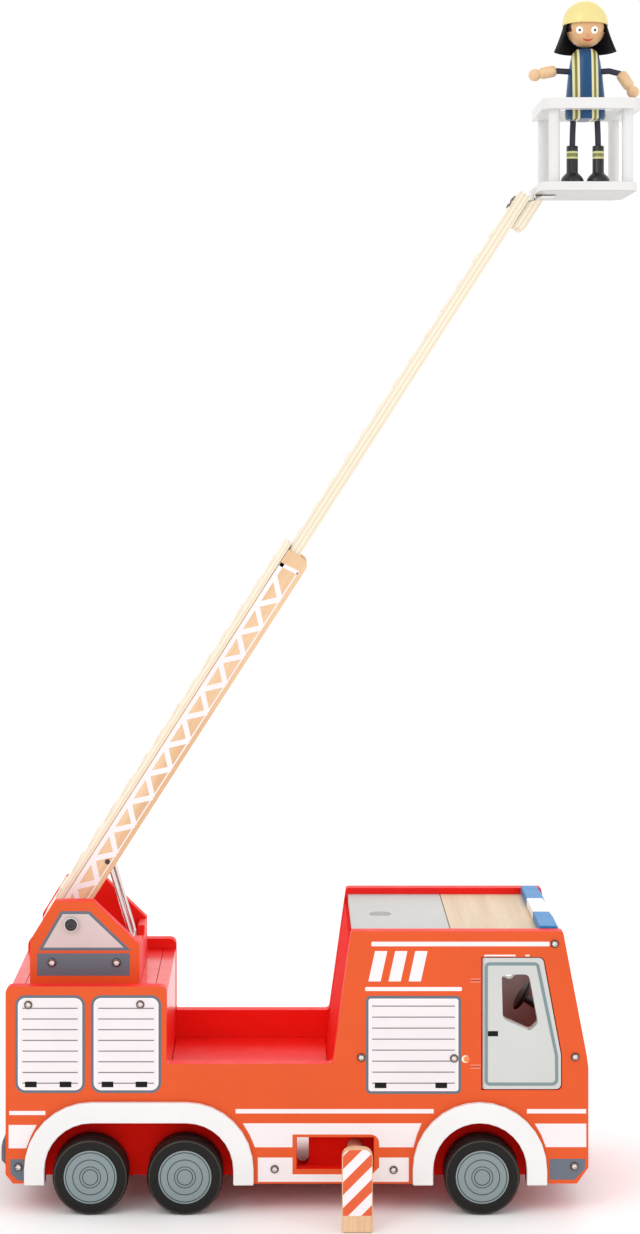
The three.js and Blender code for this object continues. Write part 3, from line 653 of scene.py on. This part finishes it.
# ---- Prints
def shutter(name, x0, x1, z0, z1, radius, slats, grips, matrix):
    """A roller shutter: frame line, pale field, slat lines and two black grips."""
    frame_line, rim = 1.9, 1.2
    outer = rectangle(x0, x1, z0, z1, radius)
    field = inset(outer, frame_line)
    mark = functools.partial(ink, body="truck", slot="red_paint", matrix=matrix)
    mark(f"{name}_frame", [[outer, field]], PRINT_SLATE)
    mark(f"{name}_rim", [[field, inset(field, rim)]], PRINT_WHITE)
    mark(f"{name}_field", [[inset(field, rim)]], PRINT_FILL)
    margin, first, step, line = slats
    least_gap = 6
    lines = []
    top = z1 - first
    while top > z0 + least_gap:
        lines.append([rectangle(x0 + margin, x1 - margin, top - line, top)])
        top -= step
    mark(f"{name}_slats", lines, PRINT_LINE, level=1)
    width, height, foot = 8.0, 3.8, z0 + 4.0
    grip_shapes = [[rectangle(x, x + width, foot, foot + height)] for x in grips]
    mark(f"{name}_grips", grip_shapes, PRINT_BLACK, level=2)


def panel_prints(flank, side):
    """The white bands, shutters and corner blocks of one side panel."""
    matrix = face_matrix(side, PANEL_FACE)
    mark = functools.partial(ink, body="truck", slot="red_paint", matrix=matrix)
    recess = [(-3.1, 25.8), (51.6, 25.8), (56.4, 30.6), (56.4, 53.2, 6), (-3.1, 53.2)]
    bands = [
        [rectangle(51.1, 173.4, 182.3, 185.4, 0.8)],
        [rectangle(46.8, 113.2, 151.6, 154.3, 0.8)],
        [rectangle(-197.4, -172.6, 66.5, 69.3)],
        [rectangle(-42.1, 93.8, 67.6, 70.6)],
        [rectangle(157.8, 198.4, 67.6, 70.6)],
        [[(-197.8, 43.7), (-185.8, 43.7), (-182.6, 52.0), (-178.6, 59.7), (-197.8, 59.7)]],
        [[(170.8, 44.5), (198.5, 44.5), (198.5, 60.6), (163.2, 60.6), (167.6, 53.0)]],
        [[
            (-37.1, 60.8), (85.4, 60.8), (82.2, 52.8), (79.9, 44.4), (56.4, 44.4), recess[3], recess[4],
            (-3.1, 44.4), (-28.8, 44.4), (-32.4, 53.0),
        ]],
        [[
            (-26.8, 37.3), (-3.1, 37.3), recess[0], recess[1], recess[2], (56.4, 37.3), (76.7, 37.3),
            (76.7, 20.7), (-26.8, 20.7),
        ]],
    ]
    mark(f"white_bands_{flank}", bands, PRINT_WHITE)
    slant, bar, gap, first_bar, foot, head = 4.6, 8.4, 5.4, 49.0, 158.2, 179.0
    bars = []
    for index in range(3):
        x = first_bar + index * (bar + gap)
        bars.append([[(x, foot), (x + bar, foot), (x + bar + slant, head), (x + slant, head)]])
    mark(f"slanted_bars_{flank}", bars, PRINT_WHITE)
    blocks = [
        [[(-191.2, 21.4), (-187.0, 21.4), (-187.0, 36.2), (-196.6, 36.2), (-196.6, 26.4)]],
        [[(173.5, 22.1), (190.4, 22.1), (197.7, 29.6), (197.7, 36.5), (173.5, 36.5)]],
    ]
    mark(f"corner_blocks_{flank}", blocks, PRINT_SLATE)
    box, slats = (81.6, 148.7, 7.0), (5.0, 8.6, 7.34, 0.7)
    shutter(f"shutter_rear_{flank}", -193.4, -145.4, *box, slats, (-186.6, -162.8), matrix)
    shutter(f"shutter_middle_{flank}", -141.4, -93.1, *box, slats, (-134.0, -110.7), matrix)
    cab_slats = (4.4, 6.7, 7.55, 0.7)
    shutter(f"shutter_cab_{flank}", 47.2, 112.7, 81.0, 148.3, 3.6, cab_slats, (53.4, 95.0), matrix)
    # Painted light on two hinge straps under the paint: at each height a painted shadow line, with a painted
    # highlight line above and below it.
    strap_heights = (99.8, 158.9)
    shadows = [[rectangle(119.4, 126.0, z - 0.3, z + 0.3)] for z in strap_heights]
    highlight_lines = [[rectangle(119.0, 126.2, z + offset - 0.25, z + offset + 0.25)]
             for z in strap_heights for offset in (-1.1, 0.9)]
    mark(f"strap_edges_{flank}", highlight_lines, PAINTED_HIGHLIGHT_INK)
    mark(f"strap_shadows_{flank}", shadows, PAINTED_SHADOW_INK)
    # The marker lamp: an amber lens over a cream disc, whose uncovered crescent is a painted highlight.
    lamp = (115.6, 104.9, 2.6)
    lens = (lamp[0] + 0.8, lamp[1], 2.0)
    mark(f"marker_glint_{flank}", [[disc(*lamp)]], PAINTED_GLINT_INK)
    mark(f"marker_lamp_{flank}", [[disc(*lens)]], PRINT_AMBER, level=1)
    screws(f"screws_{flank}", PANEL_SCREWS, side, PANEL_FACE, "truck")


DOOR_LINE = [
    (128.8, 86.6, 3.4), (179.4, 86.6, 4.4), (179.2, 107.2, 8), (165.9, 171.3, 3.4), (128.8, 171.3, 3.4),
]


def door_prints(flank, side):
    matrix = face_matrix(side, PANEL_FACE)
    body = f"door_{flank}"
    ring = [[DOOR_LINE, inset(DOOR_LINE, 2.2)]]
    flat_shape(f"door_line_{flank}", ring, -0.3, INK, PRINT_SEA, body, matrix)
    handle = [[rectangle(131.0, 138.0, 120.5, 124.1)]]
    ink(f"door_handle_{flank}", handle, PRINT_BLACK, body, "grey_paint", matrix)
    # A white line along the top of the door opening: partly print, partly a painted highlight on the
    # opening's edge.
    lintel = [[rectangle(128.5, 150.0, 175.4, 176.5)], [rectangle(156.8, 159.6, 175.4, 176.5)]]
    ink(f"door_top_print_and_highlight_{flank}", lintel, PRINT_WHITE, "truck", "red_paint", matrix)


def turntable_prints(flank, side):
    matrix = face_matrix(side, CHEEK_FACE)
    mark = functools.partial(ink, body="turntable", slot="red_paint", matrix=matrix)
    window = [(-180.6, 172.7), (-115.6, 172.7), (-144.6, 200.2), (-164.6, 200.2)]
    pane = inset(window, 2.1)
    mark(f"turntable_line_{flank}", [[window, pane]], PRINT_SLATE)
    mark(f"turntable_pane_{flank}", [[pane]], PRINT_ROSE)
    mark(f"turntable_block_{flank}", [[rectangle(-181.4, -116.6, 155.1, 170.8)]], PRINT_SLATE)
    screws(f"turntable_screws_{flank}", CHEEK_SCREWS, side, CHEEK_FACE, "turntable", 3.1)


def band(start, end, width):
    """A straight printed band between two points."""
    a, b = Vector(start), Vector(end)
    across = (b - a).orthogonal().normalized() * width / 2
    return [tuple(a + across), tuple(a - across), tuple(b - across), tuple(b + across)]


def rail_prints(flank, side):
    """A lattice girder printed along one rail of the lower ladder."""
    matrix = LADDER_MATRIX @ face_matrix(side, RAIL_FACE)
    pitch, low, high, start, end = 23.84, -0.3, 11.0, -11.0, 290.0
    width, lean = 3.8, 12.2
    chords = [
        [rectangle(start, end, 9.8, 12.8)], [rectangle(start, end, -1.6, -0.7)],
        [band((end, low - 1.2), (end - 1.5, high + 1.7), 2.8)],
    ]
    braces = []
    foot = 28.9 - 2 * pitch
    while foot < end:
        if foot - lean > start:
            braces.append([band((foot - lean, high), (foot, low - 0.6), width)])
        if start < foot < end - 12:
            braces.append([band((foot, low - 0.6), (foot + pitch - lean, high), width)])
        foot += pitch
    for level, group in enumerate((chords, braces[::2], braces[1::2])):
        ink(f"girder_{flank}_{level}", group, PRINT_WHITE, "ladder", "beech", matrix, level=level * 0.3)


# ---- Wheels
HUB_BANDS = ((0, "light"), (4.9, "dark"), (5.6, "light"), (6.8, "dark"), (7.5, "light"), (11.5, "dark"),
             (12.2, "light"), (16.4, "dark"), (17.1, "light"), (17.8, "rim"))
HUB_COLOURS = {"light": rgb("#7f8d8f"), "dark": rgb("#26363c"), "rim": rgb("#9ba4a4")}


def hub_material(flank, centre):
    shader = Shader(f"hub_print_{flank}", 0.35, coat=0.1)
    from_centre = shader.vector("SUBTRACT", shader.coordinates, tuple(centre))
    flat = shader.vector("MULTIPLY", from_centre, (1, 0, 1))
    radius = shader.math("MULTIPLY", shader.vector("LENGTH", flat), 1 / MM)
    colour = shader.bands(radius, 0, 20, [(start, HUB_COLOURS[tone]) for start, tone in HUB_BANDS])
    return paint_finish(shader, colour, 0.34)


def wheel_material():
    """Black paint over turned wood, with the lathe's fine rings left in it."""
    shader = Shader("black_wheel", specular=0.2)
    cloud = shader.noise(shader.coordinates, 40, 3)
    shader.colour(shader.mix(cloud, rgb("#121212"), rgb("#1d1b1a")))
    shader.gloss(shader.spread(cloud, 0.36, 0.5))
    shader.bump(shader.noise(shader.stretched(Y_AXIS, 1500, 90), 1, 2), FIBRE_DEPTH)
    return shader.material


def wheels():
    black = wheel_material()
    # A brown ring on the tyre's front chamfer: partly wear, partly a painted highlight along that edge.
    worn_edge_and_highlight = painted("wheel_edge_wear_and_highlight", rgb("#43301f"), 0.4, 0.05)
    for where in ("rear", "middle", "front"):
        for flank, side in SIDES.items():
            node = f"wheel_{where}_{flank}"
            centre = middle(node)
            inner, outer = span(node, 1) if side > 0 else tuple(-v for v in reversed(span(node, 1)))
            r = WHEEL_RADIUS
            profile = [
                (0, outer - 0.5), (18.2, outer - 0.5), (18.7, outer - 0.1), (19.2, outer), (24.3, outer),
                (24.8, outer - 0.25), (25.5, outer - 1.1), (r - 0.1, outer - 2.1), (r, outer - 2.7),
                (r, outer - 7.2), (r - 0.5, outer - 7.9), (r - 1.4, outer - 8.2), (r - 1.4, outer - 8.8),
                (r - 0.5, outer - 9.1), (r, outer - 9.8), (r, inner + 1.2), (r - 0.4, inner + 0.4),
                (24.6, inner), (3.0, inner), (3.0, inner + 12), (0, inner + 12),
            ]
            turn = Matrix(((1, 0, 0, centre.x), (0, 0, side, 0), (0, 1, 0, centre.z), (0, 0, 0, 1)))
            body = f"wheelset_{where}"
            wheel = lathe(f"tyre_{where}_{flank}", profile, [black, worn_edge_and_highlight], body, turn,
                          96, sharp=60)
            hub_centre = place(centre.x, side * outer, centre.z)
            # The ring of wear and painted highlight lies between radii of 24.4 and 25 mm.
            for polygon in wheel.data.polygons:
                away = polygon.center - hub_centre
                reach = math.hypot(away.x, away.z) / MM
                if 24.4 < reach < 25.0:
                    polygon.material_index = 1
            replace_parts(wheel, node)
            hub = hub_material(f"{where}_{flank}", hub_centre)
            face, back = outer - 0.25, outer - 0.52
            print_profile = [(0, face), (17.2, face), (18.0, face - 0.15), (18.1, back), (0, back)]
            lathe(f"hub_{where}_{flank}", print_profile, hub, body, turn, 96)
        finish(f"axle_{where}", STEEL, 0.4, 2)


# ---- Figure
WIRE_RADIUS = 2.1
ARM_HEIGHT = 79.25


def figure_matrix(x=0.0, z=0.0):
    """The figure's own frame: Z from its soles, facing -Y."""
    return Matrix.Translation(FIGURE + Vector((x, 0, z)))


def tunic_material():
    """Blue paint with a pale-edged olive brace on each side of the front and back."""
    shader = Shader("tunic_paint", specular=0.35)
    across = shader.math("ABSOLUTE", shader.along(X_AXIS, place(FIGURE.x - 0.9, 0, 0)))
    blue, pale, olive = rgb("#0b4470"), rgb("#dedba6"), rgb("#827640")
    stops = [(0, blue), (4.1, pale), (5.7, olive), (7.4, pale), (9.0, blue)]
    return paint_finish(shader, shader.bands(across, 0, 20, stops), 0.3)


def boot_material():
    shader = Shader("boot_paint", coat=0.1)
    black, pale, olive = rgb("#131211"), rgb("#cfd292"), rgb("#828146")
    height = shader.along(Z_AXIS, place(0, 0, FIGURE.z))
    stops = [(0, black), (17.4, pale), (18.9, olive), (21.3, pale), (22.8, black)]
    return paint_finish(shader, shader.bands(height, 0, 40, stops), 0.36)


def head_material(centre):
    """Warm skin paint, with dark hair at the back, over the temples and under the helmet's edge."""
    shader = Shader("head_paint", coat=0.12)
    behind = shader.along(Y_AXIS, centre)
    above = shader.along(Z_AXIS, centre)
    sideways = shader.along(Vector((-0.1, 0.995, 0)), centre)
    fringe = shader.math("MULTIPLY", shader.math("GREATER_THAN", sideways, -8.0),
                         shader.math("GREATER_THAN", above, -3.8))
    hair = shader.math("MAXIMUM", fringe, shader.math("GREATER_THAN", behind, -2.0))
    colour = shader.mix(hair, rgb("#d8a878"), rgb("#2f1e17"))
    return paint_finish(shader, colour, 0.42)


def on_ball(angle_x, angle_z, radius):
    """A point on a ball from its front, turned sideways and up by angles in degrees."""
    a, b = math.radians(angle_x), math.radians(angle_z)
    return Vector((math.sin(a) * math.cos(b), -math.cos(a) * math.cos(b), math.sin(b))) * radius


def ball_cap(name, angle_x, angle_z, cap_radius, ball_radius, proud, material, matrix):
    """A thin round mark on a ball."""
    direction = on_ball(angle_x, angle_z, 1)
    turn = direction.to_track_quat("Z", "Y").to_matrix().to_4x4()
    rings = 6
    profile = [(0, ball_radius + proud)]
    for step in range(1, rings + 1):
        r = cap_radius * step / rings
        profile.append((r, math.sqrt(ball_radius ** 2 - r * r) + proud))
    profile.append((cap_radius, math.sqrt(ball_radius ** 2 - cap_radius ** 2) - 0.3))
    profile.append((0, ball_radius - 0.6))
    return lathe(name, profile, material, "figure", matrix @ turn, 32)


def smile(name, matrix, ball_radius, material):
    """A curved band across the lower face."""
    vertices, faces = [], []
    steps = 20
    half_width, sideways, lowest, curl, below, above = 20.0, 3.3, -45.0, 7.0, -5.2, 2.912  # degrees
    outside, inside = 0.09, -0.2  # millimetres off the ball
    for step in range(steps + 1):
        t = step / steps * 2 - 1
        fullness = math.sqrt(max(1 - t * t, 0.03))
        for edge, height in ((below, outside), (above, outside), (above, inside), (below, inside)):
            angle = lowest + curl * t * t + edge * fullness
            vertices.append(on_ball(sideways + t * half_width, angle, ball_radius + height))
    for step in range(steps):
        faces += bridge(step * 4, (step + 1) * 4, 4)
    faces.append((0, 1, 2, 3))
    faces.append(tuple(steps * 4 + corner for corner in (3, 2, 1, 0)))
    return rounded_piece(name, vertices, faces, material, "figure", matrix, 40)


def figure():
    body = "figure"
    skin_centre = middle("figure_head")
    radius = (span("figure_head", 2)[1] - span("figure_head", 2)[0]) / 2
    head_matrix = Matrix.Translation(skin_centre)
    steps = 40
    arc = [(0, -radius)]
    for step in range(1, steps):
        angle = math.pi * step / steps
        arc.append((radius * math.sin(angle), -radius * math.cos(angle)))
    arc.append((0, radius))
    skin = head_material(place(*skin_centre))
    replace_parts(lathe("head", arc, skin, body, head_matrix, 64), "figure_head")
    eye_white, eye_dark = painted("eye_white", rgb("#f7f5f2"), 0.3), painted("eye_dark", rgb("#23211f"), 0.3)
    for name, sideways in (("eye_rear", -23.6), ("eye_front", 22.2)):
        ball_cap(name, sideways, -13.6, 2.6, radius, 0.05, eye_white, head_matrix)
        ball_cap(f"{name}_pupil", sideways + 1, -13.6, 0.95, radius, 0.12, eye_dark, head_matrix)
    smile("smile", head_matrix, radius, painted("lip_paint", rgb("#c9502a"), 0.4))
    ball_cap("nose", 3.3, -31, 1.4, radius, 0.15, painted("nose_paint", rgb("#d69366"), 0.4), head_matrix)

    low, high = span("figure_body", 2)
    neck = high - 0.3
    tunic = [
        (0, low), (11.8, low), (13.3, low + 0.3), (14.0, low + 1.3), (14.25, low + 3), (13.75, low + 16),
        (12.3, low + 31), (10.6, low + 42), (9.6, low + 46), (8.0, low + 48.6), (6.2, neck), (0, neck),
    ]
    cloth = lathe("tunic", tunic, tunic_material(), body, figure_matrix(z=-FIGURE.z), 72)
    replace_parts(cloth, "figure_body")

    helmet_low, helmet_high = span("figure_helmet", 2)
    rim = span("figure_helmet", 0)
    outer = (rim[1] - rim[0]) / 2
    crown = helmet_high - helmet_low
    shell = [(0, crown)]
    for step in range(1, 17):
        angle = math.pi / 2 * (1 - step / 16)
        shell.append((outer * math.cos(angle), crown * math.sin(angle)))
    shell += [(outer + 0.25, -0.1), (outer + 0.15, -0.9), (outer - 0.6, -1.1), (outer - 1.5, -0.7)]
    inner = radius + 0.25
    rise = helmet_low - skin_centre.z
    lowest = math.asin(rise / inner)
    for step in range(8):
        angle = lowest + (math.pi / 2 - lowest) * step / 8
        shell.append((inner * math.cos(angle), inner * math.sin(angle) - rise))
    shell.append((0, inner - rise))
    helmet_tilt = Matrix.Rotation(math.radians(-3), 4, "X")
    helmet_matrix = Matrix.Translation((skin_centre.x, skin_centre.y, helmet_low)) @ helmet_tilt
    yellow = painted("helmet_paint", rgb("#e7d68c"), 0.38)
    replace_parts(lathe("helmet", shell, yellow, body, helmet_matrix, 72), "figure_helmet")

    boots = boot_material()
    wire_cloth = painted("dark_wire_cover", rgb("#26283a"), 0.6, 0)
    for name in ("rear", "front"):
        node = f"figure_leg_{name}"
        x = middle(node).x - FIGURE.x
        boot = [
            (0, 0), (7.7, 0), (8.2, 0.4), (8.3, 1.2), (8.1, 2.4), (7.6, 3.7), (6.7, 5.1), (5.5, 6.3),
            (4.5, 7.2), (4.1, 8.0), (4.1, 26.2), (3.8, 26.7), (0, 26.7),
        ]
        made = lathe(f"boot_{name}", boot, boots, body, figure_matrix(x), 48)
        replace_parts(made, node)
        shin = [(x, 0, 25.5), (x * 0.97, 0, 36), (x * 0.93, 0, 44.4)]
        tube(f"leg_wire_{name}", shin, WIRE_RADIUS, wire_cloth, body, "boots", figure_matrix(), bend=0)

    rear_arm = [(-23.0, 0, ARM_HEIGHT + 0.8), (-9, 0, ARM_HEIGHT)]
    fore_arm = [(9, 0, ARM_HEIGHT), (17, 0, ARM_HEIGHT + 0.6), (25.0, 0, ARM_HEIGHT - 1.4)]
    wire = functools.partial(tube, radius=WIRE_RADIUS, material=wire_cloth, body=body, slot="hands",
                             matrix=figure_matrix())
    rear_wire = wire("arm_wire_rear", rear_arm, bend=0)
    wire("arm_wire_front", fore_arm, bend=3)
    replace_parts(rear_wire, "figure_arms")
    hand_wood = wooden("hand_beech", rgb("#ecca9e"), rgb("#dcb185"), X_AXIS)
    for name, elbow, ball in (
        ("rear", Vector((-20.6, 0, ARM_HEIGHT + 1.0)), Vector((-35.8, 0, ARM_HEIGHT - 2.2))),
        ("front", Vector((24.6, 0, ARM_HEIGHT - 0.4)), Vector((33.8, 0, ARM_HEIGHT - 14.1))),
    ):
        hand(name, elbow, ball, hand_wood)


def hand(name, elbow, ball, wood):
    """A wooden sleeve on the arm's wire that ends in a groove and a ball."""
    sleeve_radius, groove_radius, ball_radius = 4.2, 3.2, 4.5
    reach = (ball - elbow).length
    groove = reach - math.sqrt(ball_radius ** 2 - groove_radius ** 2)
    profile = [
        (0, 0), (2.3, 0.1), (3.4, 0.7), (4.0, 1.7), (sleeve_radius, 3.0), (sleeve_radius, groove - 2.2),
        (3.9, groove - 1.3), (groove_radius, groove - 0.5), (groove_radius, groove),
    ]
    start = math.atan2(groove_radius, groove - reach)
    steps = 14
    for step in range(1, steps + 1):
        angle = start * (1 - step / steps)
        profile.append((ball_radius * math.sin(angle), reach + ball_radius * math.cos(angle)))
    turn = (ball - elbow).to_track_quat("Z", "Y").to_matrix().to_4x4()
    matrix = figure_matrix() @ Matrix.Translation(elbow) @ turn
    lathe(f"hand_{name}", profile, wood, "figure", matrix, 40)


def neck_guard():
    """A felt cape glued inside the helmet's back edge, open in front of the face."""
    low, high = span("figure_neck_guard", 2)
    centre = middle("figure_head")
    open_angle, thick, upper_radius, flare = 62.0, 0.8, 15.4, 6.4
    columns, rows = 60, 14
    waves, wave_depth, edge_lift = 3.5, 0.5, 0.48
    felt = Shader("black_felt", 0.95, sheen=0.1, specular=0.1)
    fuzz = felt.noise(felt.coordinates, 1600, 3, 0.7)
    felt.colour(felt.mix(fuzz, rgb("#050506"), rgb("#121214")))
    felt.bump(fuzz, 0.25)
    vertices, faces = [], []
    for layer in (0, 1):
        for row in range(rows + 1):
            t = row / rows
            for column in range(columns + 1):
                share = column / columns
                angle = math.radians(-90 + open_angle + (360 - 2 * open_angle) * share)
                wave = wave_depth * t * t * math.sin(share * 2 * math.pi * waves + 0.6)
                radius = upper_radius + flare * t ** 1.15 - thick * layer + wave
                z = high - (high - low) * t + edge_lift * t * (1 - abs(2 * share - 1) ** 8)
                vertices.append((radius * math.cos(angle), radius * math.sin(angle), z - centre.z))
    width = columns + 1
    layer_size = width * (rows + 1)
    for row in range(rows):
        for column in range(columns):
            a = row * width + column
            faces.append((a, a + width, a + width + 1, a + 1))
            b = a + layer_size
            faces.append((b, b + 1, b + width + 1, b + width))
    loop = [*range(width)]
    loop += [row * width + columns for row in range(1, rows + 1)]
    loop += [rows * width + columns - 1 - i for i in range(columns)]
    loop += [row * width for row in range(rows - 1, 0, -1)]
    for index, here in enumerate(loop):
        after = loop[(index + 1) % len(loop)]
        faces.append((here, after, after + layer_size, here + layer_size))
    matrix = Matrix.Translation(centre)
    piece = add_piece("neck_cape", vertices, faces, felt.material, "figure", matrix)
    make_solid(piece)
    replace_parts(piece, "figure_neck_guard")


# ---- Everything else
def body_finish():
    for flank in SIDES:
        finish(f"side_panel_{flank}", BOARD_RED[flank], 0.9)
        finish(f"fender_rear_{flank}", WHITE, 0.9)
        finish(f"fender_front_{flank}", WHITE, 0.9)
        finish(f"door_{flank}", GREY, 0.9)
        finish(f"door_pin_{flank}", STEEL, 0)
    for node in ("cab_front_wall", "windscreen_frame", "cab_floor"):
        finish(node, RED, 0.7)
    for node in ("rear_wall", "rear_deck", "rear_box_front_wall", "bed_floor"):
        finish(node, DECK_RED, 0.25, 2)
    for node in ("chassis_frame", "cab_rear_wall"):
        finish(node, SATIN_RED, 0.5)
    finish("rear_bumper", SLATE, 0.9)
    finish("light_bar", light_bar_material(), 0.6)
    finish("roof_board", ROOF_BEECH, 0.5)
    finish("roof_lid", LID_GREY, 0.5)
    finish("steering_wheel", BLACK, 0.4)


def turntable_finish():
    for node in ("turntable_plate", "turntable_front_wall"):
        finish(node, RED, 0.7)
    for flank in SIDES:
        finish(f"turntable_cheek_{flank}", BOARD_RED[flank], 0.9)
    finish("ladder_pivot_bolt", STEEL, 0.3)
    finish("turntable_pin", STEEL, 0.4)
    head, head_height = span("ladder_pivot_bolt", 1)[1], 1.2
    cap = [
        (0, 1.0), (1.5, 1.0), (1.5, 1.9), (2.2, 2.0), (3.4, 1.8), (4.1, 1.5), (4.4, 1.1),
        (4.4, -0.2), (0, -0.2),
    ]
    for flank, side in SIDES.items():
        matrix = face_matrix(side, head - head_height) @ Matrix.Translation((PIVOT.x, PIVOT.z, 0))
        lathe(f"pivot_cap_{flank}", cap, BLACK_CHROME, "turntable", matrix, 36, hexagon)


def ladder_finish():
    birch = plywood("birch_deck", Y_AXIS, LADDER_MATRIX_SCENE @ Vector((0, 0, 13.5)))
    upper = plywood("birch_upper", LADDER_ALONG, LADDER_MATRIX_SCENE @ Vector((0, 0, 3.9)))
    finish("ladder_rung_board", birch, 0.3, 2)
    finish("upper_ladder", upper, 0.3, 2)
    finish("upper_ladder_block", upper, 0.6)
    for flank in SIDES:
        finish(f"ladder_rail_{flank}", BEECH_RAIL, 0.5)
    finish("cage_hinge_fixed_leaf", STEEL, 0)
    finish("cage_hinge_moving_leaf", STEEL, 0)
    stay_foot, stay_turn, leg, stay_end = 59.8, math.radians(130.5), 14.0, 19.8
    hole = Matrix.Translation((44.5, 0, 1.0)) @ Matrix.Rotation(stay_turn, 4, "Y")
    run = [(0, -stay_end, 0), (0, -leg, 0), (stay_foot, -leg, 0)]
    run += [(x, -y, z) for x, y, z in reversed(run)]
    wire = tube("stay", run, 1.6, [STEEL, BLACK_CHROME], "stay", "steel", LADDER_MATRIX @ hole, bend=2.6)
    for polygon in wire.data.polygons:
        if abs(polygon.center.y) > (stay_end - 1.5) * MM:
            polygon.material_index = 1
    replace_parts(wire, "stay_wire")
    heads = []
    ladder_end, ladder_top = 603.8, 13.1
    for index, (back, across) in enumerate(((6, -8), (6, 8), (11, -8), (11, 8))):
        seat = LADDER_MATRIX @ Matrix.Translation((ladder_end - back, across, ladder_top))
        heads.append(screw(f"ladder_end_screw_{index}", "upper_ladder", 2.2, seat))
    joined("ladder_end_screws", heads)


def cage_finish():
    # The cage floor's underside carries painted shade.
    finish("cage_floor", shaded_below("cage_floor_paint_shaded_below", CAGE_WHITE_SHADED_COLOUR, 0.4, 0.7), 0.9)
    finish("cage_frame", CAGE_WHITE_SHADED, 0.9)


def outrigger_finish():
    for flank, side in SIDES.items():
        finish(f"outrigger_arm_{flank}", BEECH_ACROSS_BRIGHTENED, 0.6)
        finish(f"outrigger_leg_{flank}", leg_material(side), 0.9)


# ---- Stage
CAMERA_PLACE = (-6.2, -1811.0, 564.0)
CAMERA_LENS = 73.6
CAMERA_SHIFT = (0.026, -0.184)
FLOOR_HALF = 20.0  # metres, like the lights' places
WORLD_STRENGTH = 1.03
LIGHT_TARGET, LIGHT_SIZE = Vector((0, 0, 0.35)), 1.6
LIGHTS = {"key": ((-1.6, -2.2, 2.4), 17), "fill": ((2.2, -1.6, 1.2), 5), "back": ((0.6, 2.2, 2.0), 11)}


def area_light(name, position, power):
    data = bpy.data.lights.new(name, "AREA")
    data.shape = "DISK"
    data.size = LIGHT_SIZE
    data.energy = power
    lamp = show(name, data)
    lamp.location = position
    lamp.rotation_euler = (LIGHT_TARGET - Vector(position)).to_track_quat("-Z", "Y").to_euler()


def stage():
    corners = [(x * FLOOR_HALF, y * FLOOR_HALF, 0) for x, y in ((-1, -1), (1, -1), (1, 1), (-1, 1))]
    mesh = bpy.data.meshes.new("floor")
    mesh.from_pydata(corners, [], [(0, 1, 2, 3)])
    floor = show("floor", mesh)
    surface = Shader("floor_paper", 0.9)
    fibres = surface.noise(surface.coordinates, 30, 3)
    surface.colour(surface.mix(fibres, (0.97, 0.97, 0.97), (0.99, 0.99, 0.99)))
    mesh.materials.append(surface.material)

    world = bpy.data.worlds.new("studio")
    bpy.context.scene.world = world
    world.use_nodes = True
    background = world.node_tree.nodes["Background"]
    background.inputs["Color"].default_value = (1, 1, 1, 1)
    background.inputs["Strength"].default_value = WORLD_STRENGTH
    for name, (position, power) in LIGHTS.items():
        area_light(name, position, power)

    camera_data = bpy.data.cameras.new("camera")
    camera_data.lens = CAMERA_LENS
    camera_data.shift_x, camera_data.shift_y = CAMERA_SHIFT
    camera_data.clip_start, camera_data.clip_end = 0.05, 60
    camera = show("camera", camera_data)
    camera.location = place(*CAMERA_PLACE)
    camera.rotation_euler = (math.radians(90), 0, 0)
    bpy.context.scene.camera = camera
    bpy.context.scene.view_settings.view_transform = "Standard"


stage()
body_finish()
turntable_finish()
ladder_finish()
cage_finish()
outrigger_finish()
wheels()
for side_name, side_sign in SIDES.items():
    panel_prints(side_name, side_sign)
    door_prints(side_name, side_sign)
    turntable_prints(side_name, side_sign)
    rail_prints(side_name, side_sign)
figure()
neck_guard()
